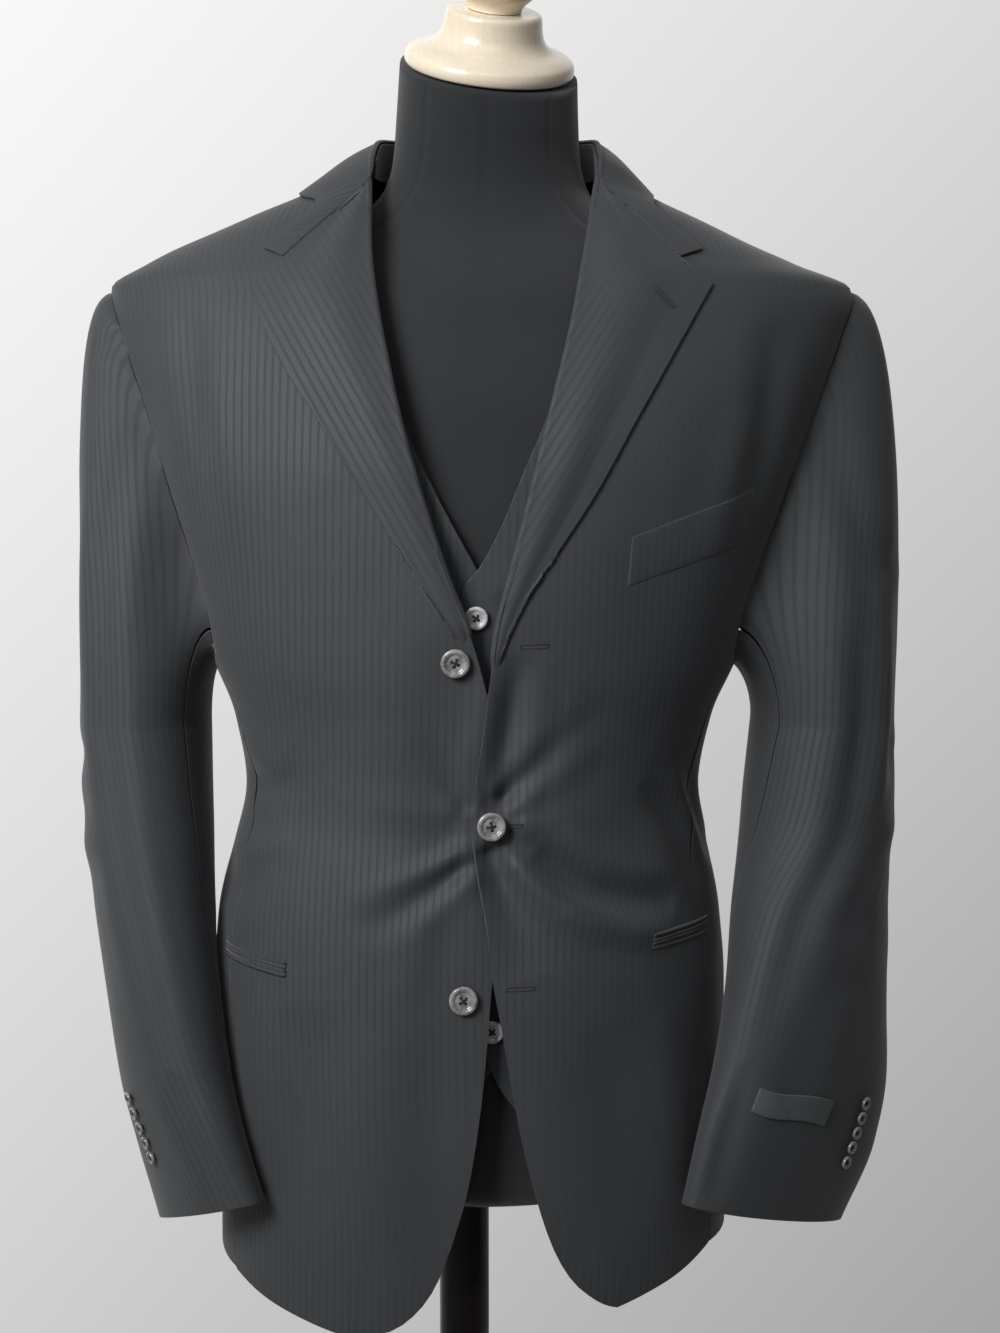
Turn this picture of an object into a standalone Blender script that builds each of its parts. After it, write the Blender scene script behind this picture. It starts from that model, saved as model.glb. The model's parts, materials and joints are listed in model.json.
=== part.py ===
"""Suit jacket and waistcoat worn by a limbless dress form on a stand.

Metres, +Z up.  The front of the suit faces -Y, and +X is the wearer's left.
The origin is the middle of the base's underside.

Every cloth piece is an open grid of points on the skin of the jacket or the
waistcoat, thickened with Solidify.  A place on a skin is a height z and a turn
in degrees: 0 is the front centre, 90 the wearer's left side, 180 the back.
"""
import bpy
import bmesh
import math
from collections import namedtuple
from mathutils import Vector

# ---- driving dimensions ---------------------------------------------------
CLOTH = 0.0016              # wall of a lined suiting panel
FACING = 0.0014             # wall of a lapel, collar leaf, welt or jet
SEAM = 0.0004               # clearance between two neighbouring pieces
LAY = 0.0004                # clearance between a piece and the panel it lies on
SQUARE = 2.3                # superellipse power of the body's level sections
LEAN = 0.024                # the dressed form leans to the wearer's left
LEAN_FROM = 0.790           # height at which the lean starts to count
FRONT_HEM = {+1: 0.7550, -1: 0.7370}    # hem at the side panel's front seam, by side
BACK_HEM = {+1: 0.7480, -1: 0.7420}
LAPEL_FOOT = {+1: 1.1560, -1: 1.1775}

BASE_RADIUS = 0.190
BASE_HUB_RADIUS = 0.034
BASE_HEIGHT = 0.034
BASE_THICKNESS = 0.0115     # of the plate near its rim
POLE_RADIUS = 0.0183
NECK_TILT = 25.0            # the neck's top faces forward by this many degrees
NECK_ROLL = 6.5             # and to the wearer's left by this many
CAP_RADIUS = 0.0595
CAP_HEIGHT = 0.040
KNOB_RADIUS = 0.0285
KNOB_HEIGHT = 0.038

JACKET_BUTTON = (0.0190, 0.0036)        # diameter, thickness
WAISTCOAT_BUTTON = (0.0155, 0.0026)
CUFF_BUTTON = (0.0093, 0.0026)
CUFF_BUTTON_STEP = 0.0096
SHANK = 0.0013              # a button stands on its threads by this much
CUFF_BUTTONS = 5
WAISTCOAT_BUTTONS = 6
WAISTCOAT_TOP_BUTTON = 1.1948
WAISTCOAT_BUTTON_STEP = 0.0547

# ---- level sections: half width, depth forward, depth backward, sideways shift
Section = namedtuple("Section", "z half front back mid")
JACKET = [
    Section(0.700, 0.1830, 0.152, 0.140, 0.008),
    Section(0.760, 0.1835, 0.152, 0.140, 0.008),
    Section(0.850, 0.1840, 0.151, 0.140, 0.004),
    Section(0.930, 0.1835, 0.149, 0.136, 0.001),
    Section(0.980, 0.1800, 0.146, 0.130, 0.000),
    Section(1.030, 0.1695, 0.141, 0.118, 0.000),
    Section(1.072, 0.1615, 0.137, 0.109, 0.000),
    Section(1.120, 0.1700, 0.140, 0.111, 0.000),
    Section(1.160, 0.1860, 0.144, 0.118, 0.000),
    Section(1.220, 0.2030, 0.146, 0.126, 0.000),
    Section(1.280, 0.2230, 0.144, 0.130, 0.000),
    Section(1.340, 0.2430, 0.132, 0.130, 0.000),
    Section(1.380, 0.2560, 0.117, 0.124, 0.000),
    Section(1.403, 0.2610, 0.106, 0.118, 0.000),
    Section(1.417, 0.2590, 0.098, 0.114, -0.002),
    Section(1.4325, 0.2290, 0.089, 0.109, -0.009),
    Section(1.4484, 0.1950, 0.078, 0.105, -0.011),
    Section(1.4670, 0.1540, 0.064, 0.100, -0.009),
    Section(1.4825, 0.1190, 0.050, 0.095, -0.007),
    Section(1.4994, 0.0950, 0.036, 0.089, -0.006),
    Section(1.5250, 0.0790, 0.020, 0.080, -0.002),
]
WAISTCOAT = [
    Section(0.820, 0.1640, 0.130, 0.122, 0.004),
    Section(0.900, 0.1670, 0.132, 0.124, 0.002),
    Section(0.980, 0.1650, 0.131, 0.118, 0.000),
    Section(1.030, 0.1575, 0.127, 0.108, 0.000),
    Section(1.072, 0.1510, 0.123, 0.099, 0.000),
    Section(1.120, 0.1570, 0.126, 0.101, 0.000),
    Section(1.160, 0.1680, 0.130, 0.108, 0.000),
    Section(1.220, 0.1820, 0.133, 0.116, 0.000),
    Section(1.280, 0.1950, 0.131, 0.119, 0.000),
    Section(1.340, 0.2030, 0.121, 0.119, 0.000),
    Section(1.380, 0.2120, 0.108, 0.113, 0.000),
    Section(1.405, 0.2160, 0.096, 0.108, 0.000),
    Section(1.4230, 0.2080, 0.086, 0.102, 0.000),
    Section(1.4390, 0.1820, 0.075, 0.097, 0.000),
    Section(1.4560, 0.1440, 0.063, 0.092, 0.000),
    Section(1.4720, 0.1100, 0.051, 0.086, 0.000),
    Section(1.4890, 0.0880, 0.042, 0.079, 0.000),
    Section(1.5100, 0.0760, 0.034, 0.072, 0.000),
]
FORM = [
    Section(0.790, 0.1400, 0.104, 0.100, 0.003),
    Section(0.798, 0.1520, 0.116, 0.112, 0.003),
    Section(0.830, 0.1580, 0.122, 0.116, 0.003),
    Section(0.900, 0.1600, 0.124, 0.117, 0.001),
    Section(0.980, 0.1570, 0.122, 0.110, 0.000),
    Section(1.030, 0.1500, 0.118, 0.100, 0.000),
    Section(1.072, 0.1440, 0.115, 0.092, 0.000),
    Section(1.120, 0.1500, 0.118, 0.094, 0.000),
    Section(1.180, 0.1660, 0.123, 0.103, 0.000),
    Section(1.250, 0.1820, 0.124, 0.110, 0.000),
    Section(1.320, 0.1930, 0.117, 0.112, 0.000),
    Section(1.370, 0.1970, 0.103, 0.108, 0.000),
    Section(1.400, 0.1930, 0.091, 0.101, 0.000),
    Section(1.4180, 0.1760, 0.080, 0.095, 0.000),
    Section(1.4350, 0.1480, 0.068, 0.088, 0.000),
    Section(1.4500, 0.1180, 0.058, 0.081, 0.000),
    Section(1.4660, 0.0900, 0.051, 0.073, 0.000),
    Section(1.4840, 0.0720, 0.048, 0.065, 0.000),
    Section(1.5050, 0.0655, 0.050, 0.059, 0.000),
    Section(1.5360, 0.0635, 0.054, 0.056, 0.000),
    Section(1.5680, 0.0620, 0.057, 0.055, 0.000),
]

# ---- edges of the fronts, as distance x from the stand's axis at height z ----
Edge = namedtuple("Edge", "z x")
LEFT_FRONT_EDGE = [         # wearer's left front, on top: cutaway, front edge, roll line
    Edge(0.7335, 0.1060), Edge(0.7361, 0.0990), Edge(0.7444, 0.0870), Edge(0.7558, 0.0755),
    Edge(0.7748, 0.0640), Edge(0.7918, 0.0570), Edge(0.8166, 0.0490), Edge(0.8461, 0.0409),
    Edge(0.8800, 0.0335), Edge(0.9272, 0.0243), Edge(0.9575, 0.0181), Edge(0.9890, 0.0140),
    Edge(1.0307, 0.0062), Edge(1.0620, 0.0020), Edge(1.0905, 0.0042), Edge(1.1200, 0.0080),
    Edge(1.1442, 0.0105), Edge(1.1884, 0.0158), Edge(1.2223, 0.0235), Edge(1.2453, 0.0290),
    Edge(1.3293, 0.0478), Edge(1.3887, 0.0608), Edge(1.4163, 0.0655), Edge(1.4507, 0.0712),
    Edge(1.4835, 0.0760), Edge(1.5050, 0.0810),
]
RIGHT_FRONT_EDGE = [        # wearer's right front, underneath
    Edge(0.7150, -0.0700), Edge(0.7221, -0.0454), Edge(0.7290, -0.0345), Edge(0.7416, -0.0225),
    Edge(0.7547, -0.0148), Edge(0.7700, -0.0090), Edge(0.7854, -0.0040), Edge(0.8206, 0.0050),
    Edge(0.8543, 0.0099), Edge(0.8851, 0.0131), Edge(0.9260, 0.0158), Edge(0.9555, 0.0175),
    Edge(1.0000, 0.0235), Edge(1.0600, 0.0268), Edge(1.1000, 0.0215), Edge(1.1430, 0.0103),
    Edge(1.1865, -0.0029), Edge(1.2147, -0.0150), Edge(1.2453, -0.0265), Edge(1.3216, -0.0509),
    Edge(1.3577, -0.0600), Edge(1.3934, -0.0683), Edge(1.4322, -0.0752), Edge(1.4869, -0.0800),
    Edge(1.5050, -0.0830),
]
LEFT_LAPEL_EDGE = [         # outer edge, tip at 1.4114, then notch and gorge seam
    Edge(1.1520, 0.0150), Edge(1.1716, 0.0190), Edge(1.1999, 0.0303), Edge(1.2331, 0.0500),
    Edge(1.2719, 0.0744), Edge(1.3309, 0.1064), Edge(1.3886, 0.1385), Edge(1.4114, 0.1515),
    Edge(1.4325, 0.1295), Edge(1.4530, 0.1080), Edge(1.4760, 0.0850),
]
RIGHT_LAPEL_EDGE = [
    Edge(1.1520, 0.0030), Edge(1.1720, -0.0075), Edge(1.1948, -0.0205), Edge(1.2095, -0.0302),
    Edge(1.2579, -0.0614), Edge(1.3284, -0.1075), Edge(1.3546, -0.1258), Edge(1.3896, -0.1445),
    Edge(1.4114, -0.1515), Edge(1.4300, -0.1330), Edge(1.4530, -0.1090), Edge(1.4760, -0.0860),
]
LEFT_WAISTCOAT_EDGE = [     # on top: point, front edge, V
    Edge(0.8450, 0.0600), Edge(0.8560, 0.0450), Edge(0.8692, 0.0335), Edge(0.8870, 0.0215),
    Edge(0.9214, 0.0085), Edge(1.0600, -0.0008), Edge(1.1948, -0.0095), Edge(1.2134, -0.0075),
    Edge(1.2262, 0.0020), Edge(1.2516, 0.0154), Edge(1.2897, 0.0304), Edge(1.3293, 0.0460),
    Edge(1.4000, 0.0660), Edge(1.4500, 0.0770), Edge(1.4860, 0.0830),
]
RIGHT_WAISTCOAT_EDGE = [    # underneath
    Edge(0.8450, -0.0250), Edge(0.8560, -0.0100), Edge(0.8692, 0.0020), Edge(0.8870, 0.0150),
    Edge(0.9214, 0.0290), Edge(1.0600, 0.0200), Edge(1.1948, 0.0120), Edge(1.2134, 0.0085),
    Edge(1.2262, 0.0010), Edge(1.2789, -0.0285), Edge(1.3216, -0.0490), Edge(1.4000, -0.0680),
    Edge(1.4500, -0.0780), Edge(1.4860, -0.0830),
]
WAISTCOAT_ARMHOLE = [       # half width left between the armholes
    Edge(1.1250, 0.1540), Edge(1.1400, 0.1480), Edge(1.1700, 0.1420), Edge(1.2300, 0.1370),
    Edge(1.3200, 0.1360), Edge(1.3900, 0.1400), Edge(1.4300, 0.1440), Edge(1.4600, 0.1340),
]

# ---- armhole: walk runs once round the loop, 0 shoulder, 90 front, 270 back --
Hole = namedtuple("Hole", "walk z turn")
ARMHOLE = [
    Hole(0, 1.4170, 90.0), Hole(15, 1.4100, 80.0), Hole(30, 1.3930, 74.0), Hole(50, 1.3500, 71.0),
    Hole(75, 1.2900, 69.5), Hole(100, 1.2350, 69.5), Hole(125, 1.1930, 68.0), Hole(142, 1.1720, 70.0),
    Hole(162, 1.1560, 79.0), Hole(180, 1.1520, 90.0), Hole(198, 1.1560, 101.0),
    Hole(218, 1.1720, 110.0), Hole(235, 1.1950, 112.0), Hole(260, 1.2400, 111.0),
    Hole(285, 1.2950, 109.5), Hole(310, 1.3550, 108.0), Hole(330, 1.3940, 105.0),
    Hole(345, 1.4105, 99.0), Hole(360, 1.4170, 90.0),
]
SEAM_FRONT = 142            # walk at which the front and the side panel meet
SEAM_BACK = 218             # walk at which the side panel and the back meet

# ---- sleeves: rings below the armhole, between a front and a rear end; a ring
# lies this much higher at its front end and lower at its rear end (rise) -----
Ring = namedtuple("Ring", "z front_x front_y rear_x rear_y width rise")
LEFT_SLEEVE = [
    Ring(1.115, 0.2450, -0.0800, 0.2540, 0.0640, 0.1010, 0.000),
    Ring(1.050, 0.2320, -0.0860, 0.2620, 0.0520, 0.1080, 0.002),
    Ring(0.985, 0.2020, -0.1000, 0.2800, 0.0200, 0.1020, 0.007),
    Ring(0.925, 0.1860, -0.1120, 0.2920, 0.0040, 0.0880, 0.012),
    Ring(0.870, 0.1720, -0.1220, 0.2990, -0.0080, 0.0740, 0.017),
    Ring(0.830, 0.1610, -0.1280, 0.2930, -0.0200, 0.0620, 0.020),
    Ring(0.780, 0.1500, -0.1330, 0.2700, -0.0360, 0.0500, 0.023),
]
RIGHT_SLEEVE = [
    Ring(1.115, 0.2300, -0.0800, 0.2400, 0.0640, 0.0920, 0.000),
    Ring(1.050, 0.2200, -0.0880, 0.2400, 0.0480, 0.0910, 0.002),
    Ring(0.985, 0.2060, -0.0980, 0.2400, 0.0300, 0.0840, 0.007),
    Ring(0.925, 0.1900, -0.1080, 0.2360, 0.0120, 0.0780, 0.012),
    Ring(0.870, 0.1740, -0.1180, 0.2320, -0.0040, 0.0700, 0.017),
    Ring(0.830, 0.1580, -0.1260, 0.2240, -0.0180, 0.0600, 0.020),
    Ring(0.780, 0.1370, -0.1320, 0.2110, -0.0320, 0.0500, 0.023),
]
UNDER_SLEEVE = (134.0, 226.0)   # the under sleeve's share of the walk round the arm

# ---- collar leaf: inner line (crest of the neck, then the gorge) to outer edge
Leaf = namedtuple("Leaf", "inner_x inner_y inner_z edge_turn edge_z lift")
COLLAR_BACK = [
    Leaf(0.0000, 0.0830, 1.5330, 180.0, 1.4870, 0.009),
    Leaf(0.0220, 0.0810, 1.5325, 165.0, 1.4870, 0.009),
    Leaf(0.0420, 0.0740, 1.5310, 150.0, 1.4870, 0.009),
    Leaf(0.0680, 0.0470, 1.5270, 121.0, 1.4880, 0.009),
    Leaf(0.0790, 0.0080, 1.5200, 95.0, 1.4885, 0.008),
    Leaf(0.0810, -0.0220, 1.5040, 76.0, 1.4800, 0.006),
]
Gorge = namedtuple("Gorge", "inner_z edge_x edge_z")
COLLAR_GORGE = [
    Gorge(1.4780, 0.1150, 1.4660),
    Gorge(1.4620, 0.1270, 1.4545),
    Gorge(1.4470, 0.1370, 1.4455),
    Gorge(1.4345, 0.1450, 1.4395),
]


# ---- small tools ------------------------------------------------------------
class Curve:
    """A smooth value between the rows of a table, never beyond two neighbours."""

    def __init__(self, places, values):
        self.places, self.values = list(places), list(values)
        steps = [b - a for a, b in zip(self.places, self.places[1:])]
        rates = [(b - a) / s for a, b, s in zip(self.values, self.values[1:], steps)]
        self.slopes = [rates[0]]
        for i in range(1, len(rates)):
            if rates[i - 1] * rates[i] <= 0:
                self.slopes.append(0.0)
            else:
                before, after = 2 * steps[i] + steps[i - 1], steps[i] + 2 * steps[i - 1]
                self.slopes.append((before + after) / (before / rates[i - 1] + after / rates[i]))
        self.slopes.append(rates[-1])

    def __call__(self, place):
        place = min(max(place, self.places[0]), self.places[-1])
        i = 0
        while place > self.places[i + 1]:
            i += 1
        step = self.places[i + 1] - self.places[i]
        t = (place - self.places[i]) / step
        return (self.values[i] * (1 + 2 * t) * (1 - t) ** 2 + self.values[i + 1] * t * t * (3 - 2 * t)
                + step * t * (1 - t) * (self.slopes[i] * (1 - t) - self.slopes[i + 1] * t))


def column(table, place, value):
    return Curve([getattr(row, place) for row in table], [getattr(row, value) for row in table])


def mix(a, b, t):
    return a + (b - a) * t


def smooth(low, high, value):
    t = min(max((value - low) / (high - low), 0.0), 1.0)
    return t * t * (3 - 2 * t)


def spread(low, high, count):
    return [mix(low, high, i / (count - 1)) for i in range(count)]


class Skin:
    """A body of level superellipse sections, read by height and turn."""

    def __init__(self, table):
        self.half, self.front, self.back, self.mid = (
            column(table, "z", name) for name in ("half", "front", "back", "mid"))

    def at(self, z, turn):
        s, c = math.sin(math.radians(turn)), math.cos(math.radians(turn))
        x = self.half(z) * math.copysign(abs(s) ** (2 / SQUARE), s)
        depth = self.front(z) if c > 0 else self.back(z)
        y = -depth * math.copysign(abs(c) ** (2 / SQUARE), c)
        return Vector((x + self.mid(z), y, z))

    def normal(self, z, turn, dz=0.002, dturn=1.0):
        up = self.at(z + dz, turn) - self.at(z - dz, turn)
        round_ = self.at(z, turn + dturn) - self.at(z, turn - dturn)
        return round_.cross(up).normalized()

    def out(self, z, turn, distance):
        return self.at(z, turn) + self.normal(z, turn) * distance

    def turn_of(self, z, x):
        x -= self.mid(z)
        share = min(abs(x) / self.half(z), 1.0) ** (SQUARE / 2)
        return math.copysign(math.degrees(math.asin(share)), x)

    def clear(self, point, distance):
        """Push a point out until it is this far from the body's level section."""
        z = point.z
        x = point.x - self.mid(z)
        depth = (self.front(z) if point.y < 0 else self.back(z)) + distance
        across = abs(x) / (self.half(z) + distance)
        along = abs(point.y) / depth
        reach = (across ** SQUARE + along ** SQUARE) ** (1 / SQUARE)
        if reach < 1.0:
            return Vector((x / reach + self.mid(z), point.y / reach, z))
        return point


jacket, waistcoat, form = Skin(JACKET), Skin(WAISTCOAT), Skin(FORM)


def lean(point):
    return Vector((point.x + LEAN * (point.z - LEAN_FROM), point.y, point.z))


def material(name, colour, roughness, metallic=0.0):
    made = bpy.data.materials.new(name)
    made.use_nodes = True
    shader = made.node_tree.nodes["Principled BSDF"]
    shader.inputs["Base Color"].default_value = (*colour, 1.0)
    shader.inputs["Roughness"].default_value = roughness
    shader.inputs["Metallic"].default_value = metallic
    return made


def keep(obj, finish):
    """Put an object in the suit's collection, with its material."""
    for old in list(obj.users_collection):
        old.objects.unlink(obj)
    parts.objects.link(obj)
    obj.data.materials.clear()
    obj.data.materials.append(finish)
    return obj


def cloth(name, grid, thickness, finish, flip=False):
    """A panel from rows of points: the outer face, thickened inwards."""
    mesh = bmesh.new()
    rows = [[mesh.verts.new(lean(point)) for point in row] for row in grid]
    for low, high in zip(rows, rows[1:]):
        for a, b, c, d in zip(low, low[1:], high[1:], high):
            mesh.faces.new((d, c, b, a) if flip else (a, b, c, d))
    data = bpy.data.meshes.new(name)
    mesh.to_mesh(data)
    mesh.free()
    data.shade_smooth()
    obj = bpy.data.objects.new(name, data)
    parts.objects.link(obj)
    data.materials.append(finish)
    wall = obj.modifiers.new("wall", "SOLIDIFY")
    wall.thickness = thickness
    wall.offset = -1.0
    return obj


def turned(name, profile, finish, sides=24):
    """A turned solid from (radius, height) points that run down its outside."""
    mesh = bmesh.new()
    points = [mesh.verts.new((r, 0.0, h)) for r, h in profile]
    for a, b in zip(points, points[1:]):
        mesh.edges.new((a, b))
    data = bpy.data.meshes.new(name)
    mesh.to_mesh(data)
    mesh.free()
    obj = bpy.data.objects.new(name, data)
    parts.objects.link(obj)
    data.materials.append(finish)
    screw = obj.modifiers.new("turn", "SCREW")
    screw.steps = screw.render_steps = sides
    screw.use_merge_vertices = True
    screw.merge_threshold = 0.00001
    screw.use_smooth_shade = True
    return obj


def button(name, place, normal, size, finish, sides=14):
    """A button lying on the cloth at a place, clear of it."""
    diameter, thickness = size
    bpy.ops.mesh.primitive_cylinder_add(vertices=sides, radius=diameter / 2, depth=thickness)
    obj = bpy.context.object
    obj.name = name
    obj.rotation_mode = "QUATERNION"
    obj.rotation_quaternion = normal.to_track_quat("Z", "Y")
    obj.location = lean(place) + normal * (SHANK + thickness / 2)
    rim = obj.modifiers.new("rim", "BEVEL")
    rim.width = thickness / 4
    rim.limit_method = "ANGLE"
    rim.segments = 1
    return keep(obj, finish)


# ---- jacket body ------------------------------------------------------------
hole_z, hole_turn = column(ARMHOLE, "walk", "z"), column(ARMHOLE, "walk", "turn")


def hole_by_height(walks):
    """The armhole's turn read by height, along walks that run upwards."""
    return Curve([hole_z(walk) for walk in walks], [hole_turn(walk) for walk in walks])


hole_front = hole_by_height(range(SEAM_FRONT, -1, -2))
hole_back = hole_by_height(range(SEAM_BACK, 361, 2))
SHOULDER_TIP = hole_z(0)
SHOULDER_SEAM = 90.0        # turn of the shoulder seam and of the waistcoat's side seam
SIDE_SEAMS = (62.0, 118.0)  # turns of the side panel's two seams at the hem
SEAMS_DRAW_IN = 1.00        # above this height they run to the armhole


def turn_gap(z, distance):
    """The turn that moves a point this far round the body at its side."""
    return math.degrees(distance / jacket.half(z))


def front_limit(z):
    """Turn of the front's outer edge: side seam, armhole or shoulder seam."""
    if z >= SHOULDER_TIP:
        return SHOULDER_SEAM - turn_gap(z, SEAM)
    if z >= hole_z(SEAM_FRONT):
        return hole_front(z) - turn_gap(z, SEAM / 2)
    drawn_in = smooth(SEAMS_DRAW_IN, hole_z(SEAM_FRONT), z)
    return mix(SIDE_SEAMS[0], hole_turn(SEAM_FRONT), drawn_in) - turn_gap(z, SEAM / 2)


def back_limit(z):
    if z >= SHOULDER_TIP:
        return SHOULDER_SEAM + turn_gap(z, SEAM)
    if z >= hole_z(SEAM_BACK):
        return hole_back(z) + turn_gap(z, SEAM / 2)
    drawn_in = smooth(SEAMS_DRAW_IN, hole_z(SEAM_BACK), z)
    return mix(SIDE_SEAMS[1], hole_turn(SEAM_BACK), drawn_in) + turn_gap(z, SEAM / 2)


# the wearer's right front passes under the left one between these places
UNDER_DEPTH = CLOTH + 2 * LAY
UNDER_X = (-0.050, -0.012)
UNDER_Z = (1.150, 1.195)


def front_out(side, x, z):
    """How far a front stands off the jacket's skin."""
    if side > 0:
        return 0.0
    return -UNDER_DEPTH * smooth(*UNDER_X, x) * (1.0 - smooth(*UNDER_Z, z))


def on_front(side, x, z, distance):
    turn = jacket.turn_of(z, x)
    return jacket.out(z, turn, distance + front_out(side, x, z))


FRONT_LIFTS = (0.0, 0.0025, 0.0075, 0.016, 0.030, 0.052, 0.083)     # rows up the cutaway
FRONT_HEIGHTS = (0.860, 0.905, 0.945, 0.985, 1.020, 1.050, 1.080, 1.110, 1.140, 1.158, 1.180, 1.210,
                 1.245, 1.285, 1.325, 1.360, 1.390, 1.406, 1.417, 1.4325, 1.449, 1.467, 1.480, 1.4910)
FRONT_COLUMNS = 8
SIDE_RISE = 0.021           # the hem is this much higher at the side seam
RISE_FADES = 0.90


def jacket_front(name, side, edge):
    inner = column(edge, "z", "x")
    bottom = edge[0].z
    heights = [bottom + lift for lift in FRONT_LIFTS] + list(FRONT_HEIGHTS)
    grid = []
    for height in heights:
        start, stop = jacket.turn_of(height, inner(height)), side * front_limit(height)
        fade = 1.0 - smooth(bottom, RISE_FADES, height)
        row = []
        for share in spread(0.0, 1.0, FRONT_COLUMNS):
            z = height + SIDE_RISE * share * fade
            turn = mix(start, stop, share)
            row.append(jacket.out(z, turn, front_out(side, jacket.at(z, turn).x, z)))
        grid.append(row)
    return cloth(name, grid, CLOTH, suiting, flip=side < 0)


SIDE_SHARES = (0.0, 0.07, 0.16, 0.28, 0.40, 0.50, 0.58, 0.66, 0.73, 0.81, 0.88, 0.94, 1.0)
SIDE_COLUMNS = 6
SIDE_CLEAR = 3.5            # half seams left at the panel's curved edges


def jacket_side(name, side, hem_front, hem_back):
    grid = []
    for share in SIDE_SHARES:
        row = []
        for along in spread(0.0, 1.0, SIDE_COLUMNS):
            walk = mix(SEAM_FRONT, SEAM_BACK, along)
            z = mix(mix(hem_front, hem_back, along), hole_z(walk) - SEAM / 2, share)
            inset = turn_gap(z, SEAM / 2)
            low, high = front_limit(z) + SIDE_CLEAR * inset, back_limit(z) - SIDE_CLEAR * inset
            if share == 1.0:
                low, high = hole_turn(SEAM_FRONT) + inset, hole_turn(SEAM_BACK) - inset
            turn = mix(mix(low, high, along), hole_turn(walk), smooth(0.6, 1.0, share))
            turn = min(max(turn, low), high)
            row.append(jacket.at(z, side * turn))
        grid.append(row)
    return cloth(name, grid, CLOTH, suiting, flip=side < 0)


BACK_NECK_RISE = 0.006      # from the neck's centre back to the shoulder seam
BACK_HEIGHTS = (0.77, 0.81, 0.86, 0.91, 0.95, 0.985, 1.020, 1.050, 1.080, 1.115, 1.150, 1.1725,
                1.20, 1.245, 1.290, 1.335, 1.370, 1.395, 1.408, 1.417, 1.4325, 1.449, 1.467, 1.480, 1.492)
BACK_COLUMNS = 6


def jacket_back(name, side, hem):
    grid = []
    for height in (hem,) + BACK_HEIGHTS:
        row = []
        for share in spread(0.0, 1.0, BACK_COLUMNS):
            z = height + BACK_NECK_RISE * share * smooth(1.45, BACK_HEIGHTS[-1], height)
            row.append(jacket.at(z, side * mix(180.0 - turn_gap(z, SEAM / 2), back_limit(z), share)))
        grid.append(row)
    return cloth(name, grid, CLOTH, suiting, flip=side > 0)


# ---- collar and lapels --------------------------------------------------------
LAPEL_LIE = FACING + LAY + 0.0002       # outer face of a lapel that lies flat
LAPEL_ROLL = 0.0030                     # extra height of its soft roll


def lapel_height(share):
    """Outer face above the front, from the roll line (0) to the free edge (1)."""
    return LAPEL_LIE + LAPEL_ROLL * math.sin(math.pi * min(share / 0.75, 1.0)) ** 1.5


LAPEL_HEIGHTS = (1.200, 1.225, 1.258, 1.295, 1.330, 1.362, 1.390, 1.4114, 1.4220, 1.4325, 1.4430,
                 1.4530, 1.4640, 1.4750)
LAPEL_FOOT_STEP = 0.012     # first row above the foot
LAPEL_SHARES = (0.0, 0.08, 0.25, 0.5, 0.75, 0.92, 1.0)
FULL_ROLL_WIDTH = 0.05      # a narrower lapel rolls less


def lapel(name, side, front_edge, outer_edge, foot):
    inner, outer = column(front_edge, "z", "x"), column(outer_edge, "z", "x")
    grid = []
    for z in (foot, foot + LAPEL_FOOT_STEP) + LAPEL_HEIGHTS:
        start, stop = inner(z), outer(z)
        roll = min(abs(stop - start) / FULL_ROLL_WIDTH, 1.0)
        row = []
        for share in LAPEL_SHARES:
            height = mix(LAPEL_LIE, lapel_height(share), roll)
            row.append(on_front(side, mix(start, stop, share), z, height))
        grid.append(row)
    return cloth(name, grid, FACING, suiting, flip=side < 0)


Station = namedtuple("Station", "inner edge_turn edge_z lift")
COLLAR_LIFT = 0.0030        # outer face of the leaf above the panels at its edge
GORGE_LIFT = 0.0012         # the leaf's bulge beside the lapels
COLLAR_STATIONS = 27
COLLAR_SHARES = (0.0, 0.12, 0.32, 0.6, 1.0)
STAND_STATIONS = 17
STAND_LOW, STAND_HIGH = 1.490, 1.533    # crest heights at which the stand is lowest and highest
STAND_HEIGHT = (0.006, 0.024)           # its least height, and what is added at the back
STAND_INSIDE = 0.0040                   # it stands this far inside the leaf's crest
STAND_SLOPE = 0.0030                    # and its foot this far outside its head


def collar_rows():
    """Stations of the leaf from the wearer's right tip round to the left one."""
    gorge = {+1: column(LEFT_LAPEL_EDGE, "z", "x"), -1: column(RIGHT_LAPEL_EDGE, "z", "x")}
    halves = {}
    for side in (+1, -1):
        rows = []
        for leaf in COLLAR_BACK:
            inner = Vector((side * leaf.inner_x, leaf.inner_y, leaf.inner_z))
            rows.append(Station(inner, leaf.edge_turn * side, leaf.edge_z, leaf.lift))
        for leaf in COLLAR_GORGE:
            inner_x = gorge[side](leaf.inner_z) + side * 4 * SEAM
            inner = jacket.out(leaf.inner_z, jacket.turn_of(leaf.inner_z, inner_x), LAPEL_LIE)
            edge_turn = jacket.turn_of(leaf.edge_z, side * leaf.edge_x)
            rows.append(Station(inner, edge_turn, leaf.edge_z, GORGE_LIFT))
        halves[side] = rows
    right = [row._replace(edge_turn=row.edge_turn + 360.0) for row in reversed(halves[-1])]
    return right[:-1] + halves[+1]


def along_rows(rows, stations):
    """Rows read smoothly between their members: inner point, edge point, lift."""
    places = list(range(len(rows)))
    inner = [Curve(places, [row.inner[axis] for row in rows]) for axis in range(3)]
    turn, height, lift = (Curve(places, [getattr(row, name) for row in rows])
                          for name in ("edge_turn", "edge_z", "lift"))
    for s in stations:
        yield Vector([c(s) for c in inner]), jacket.out(height(s), turn(s), COLLAR_LIFT), lift(s)


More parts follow.
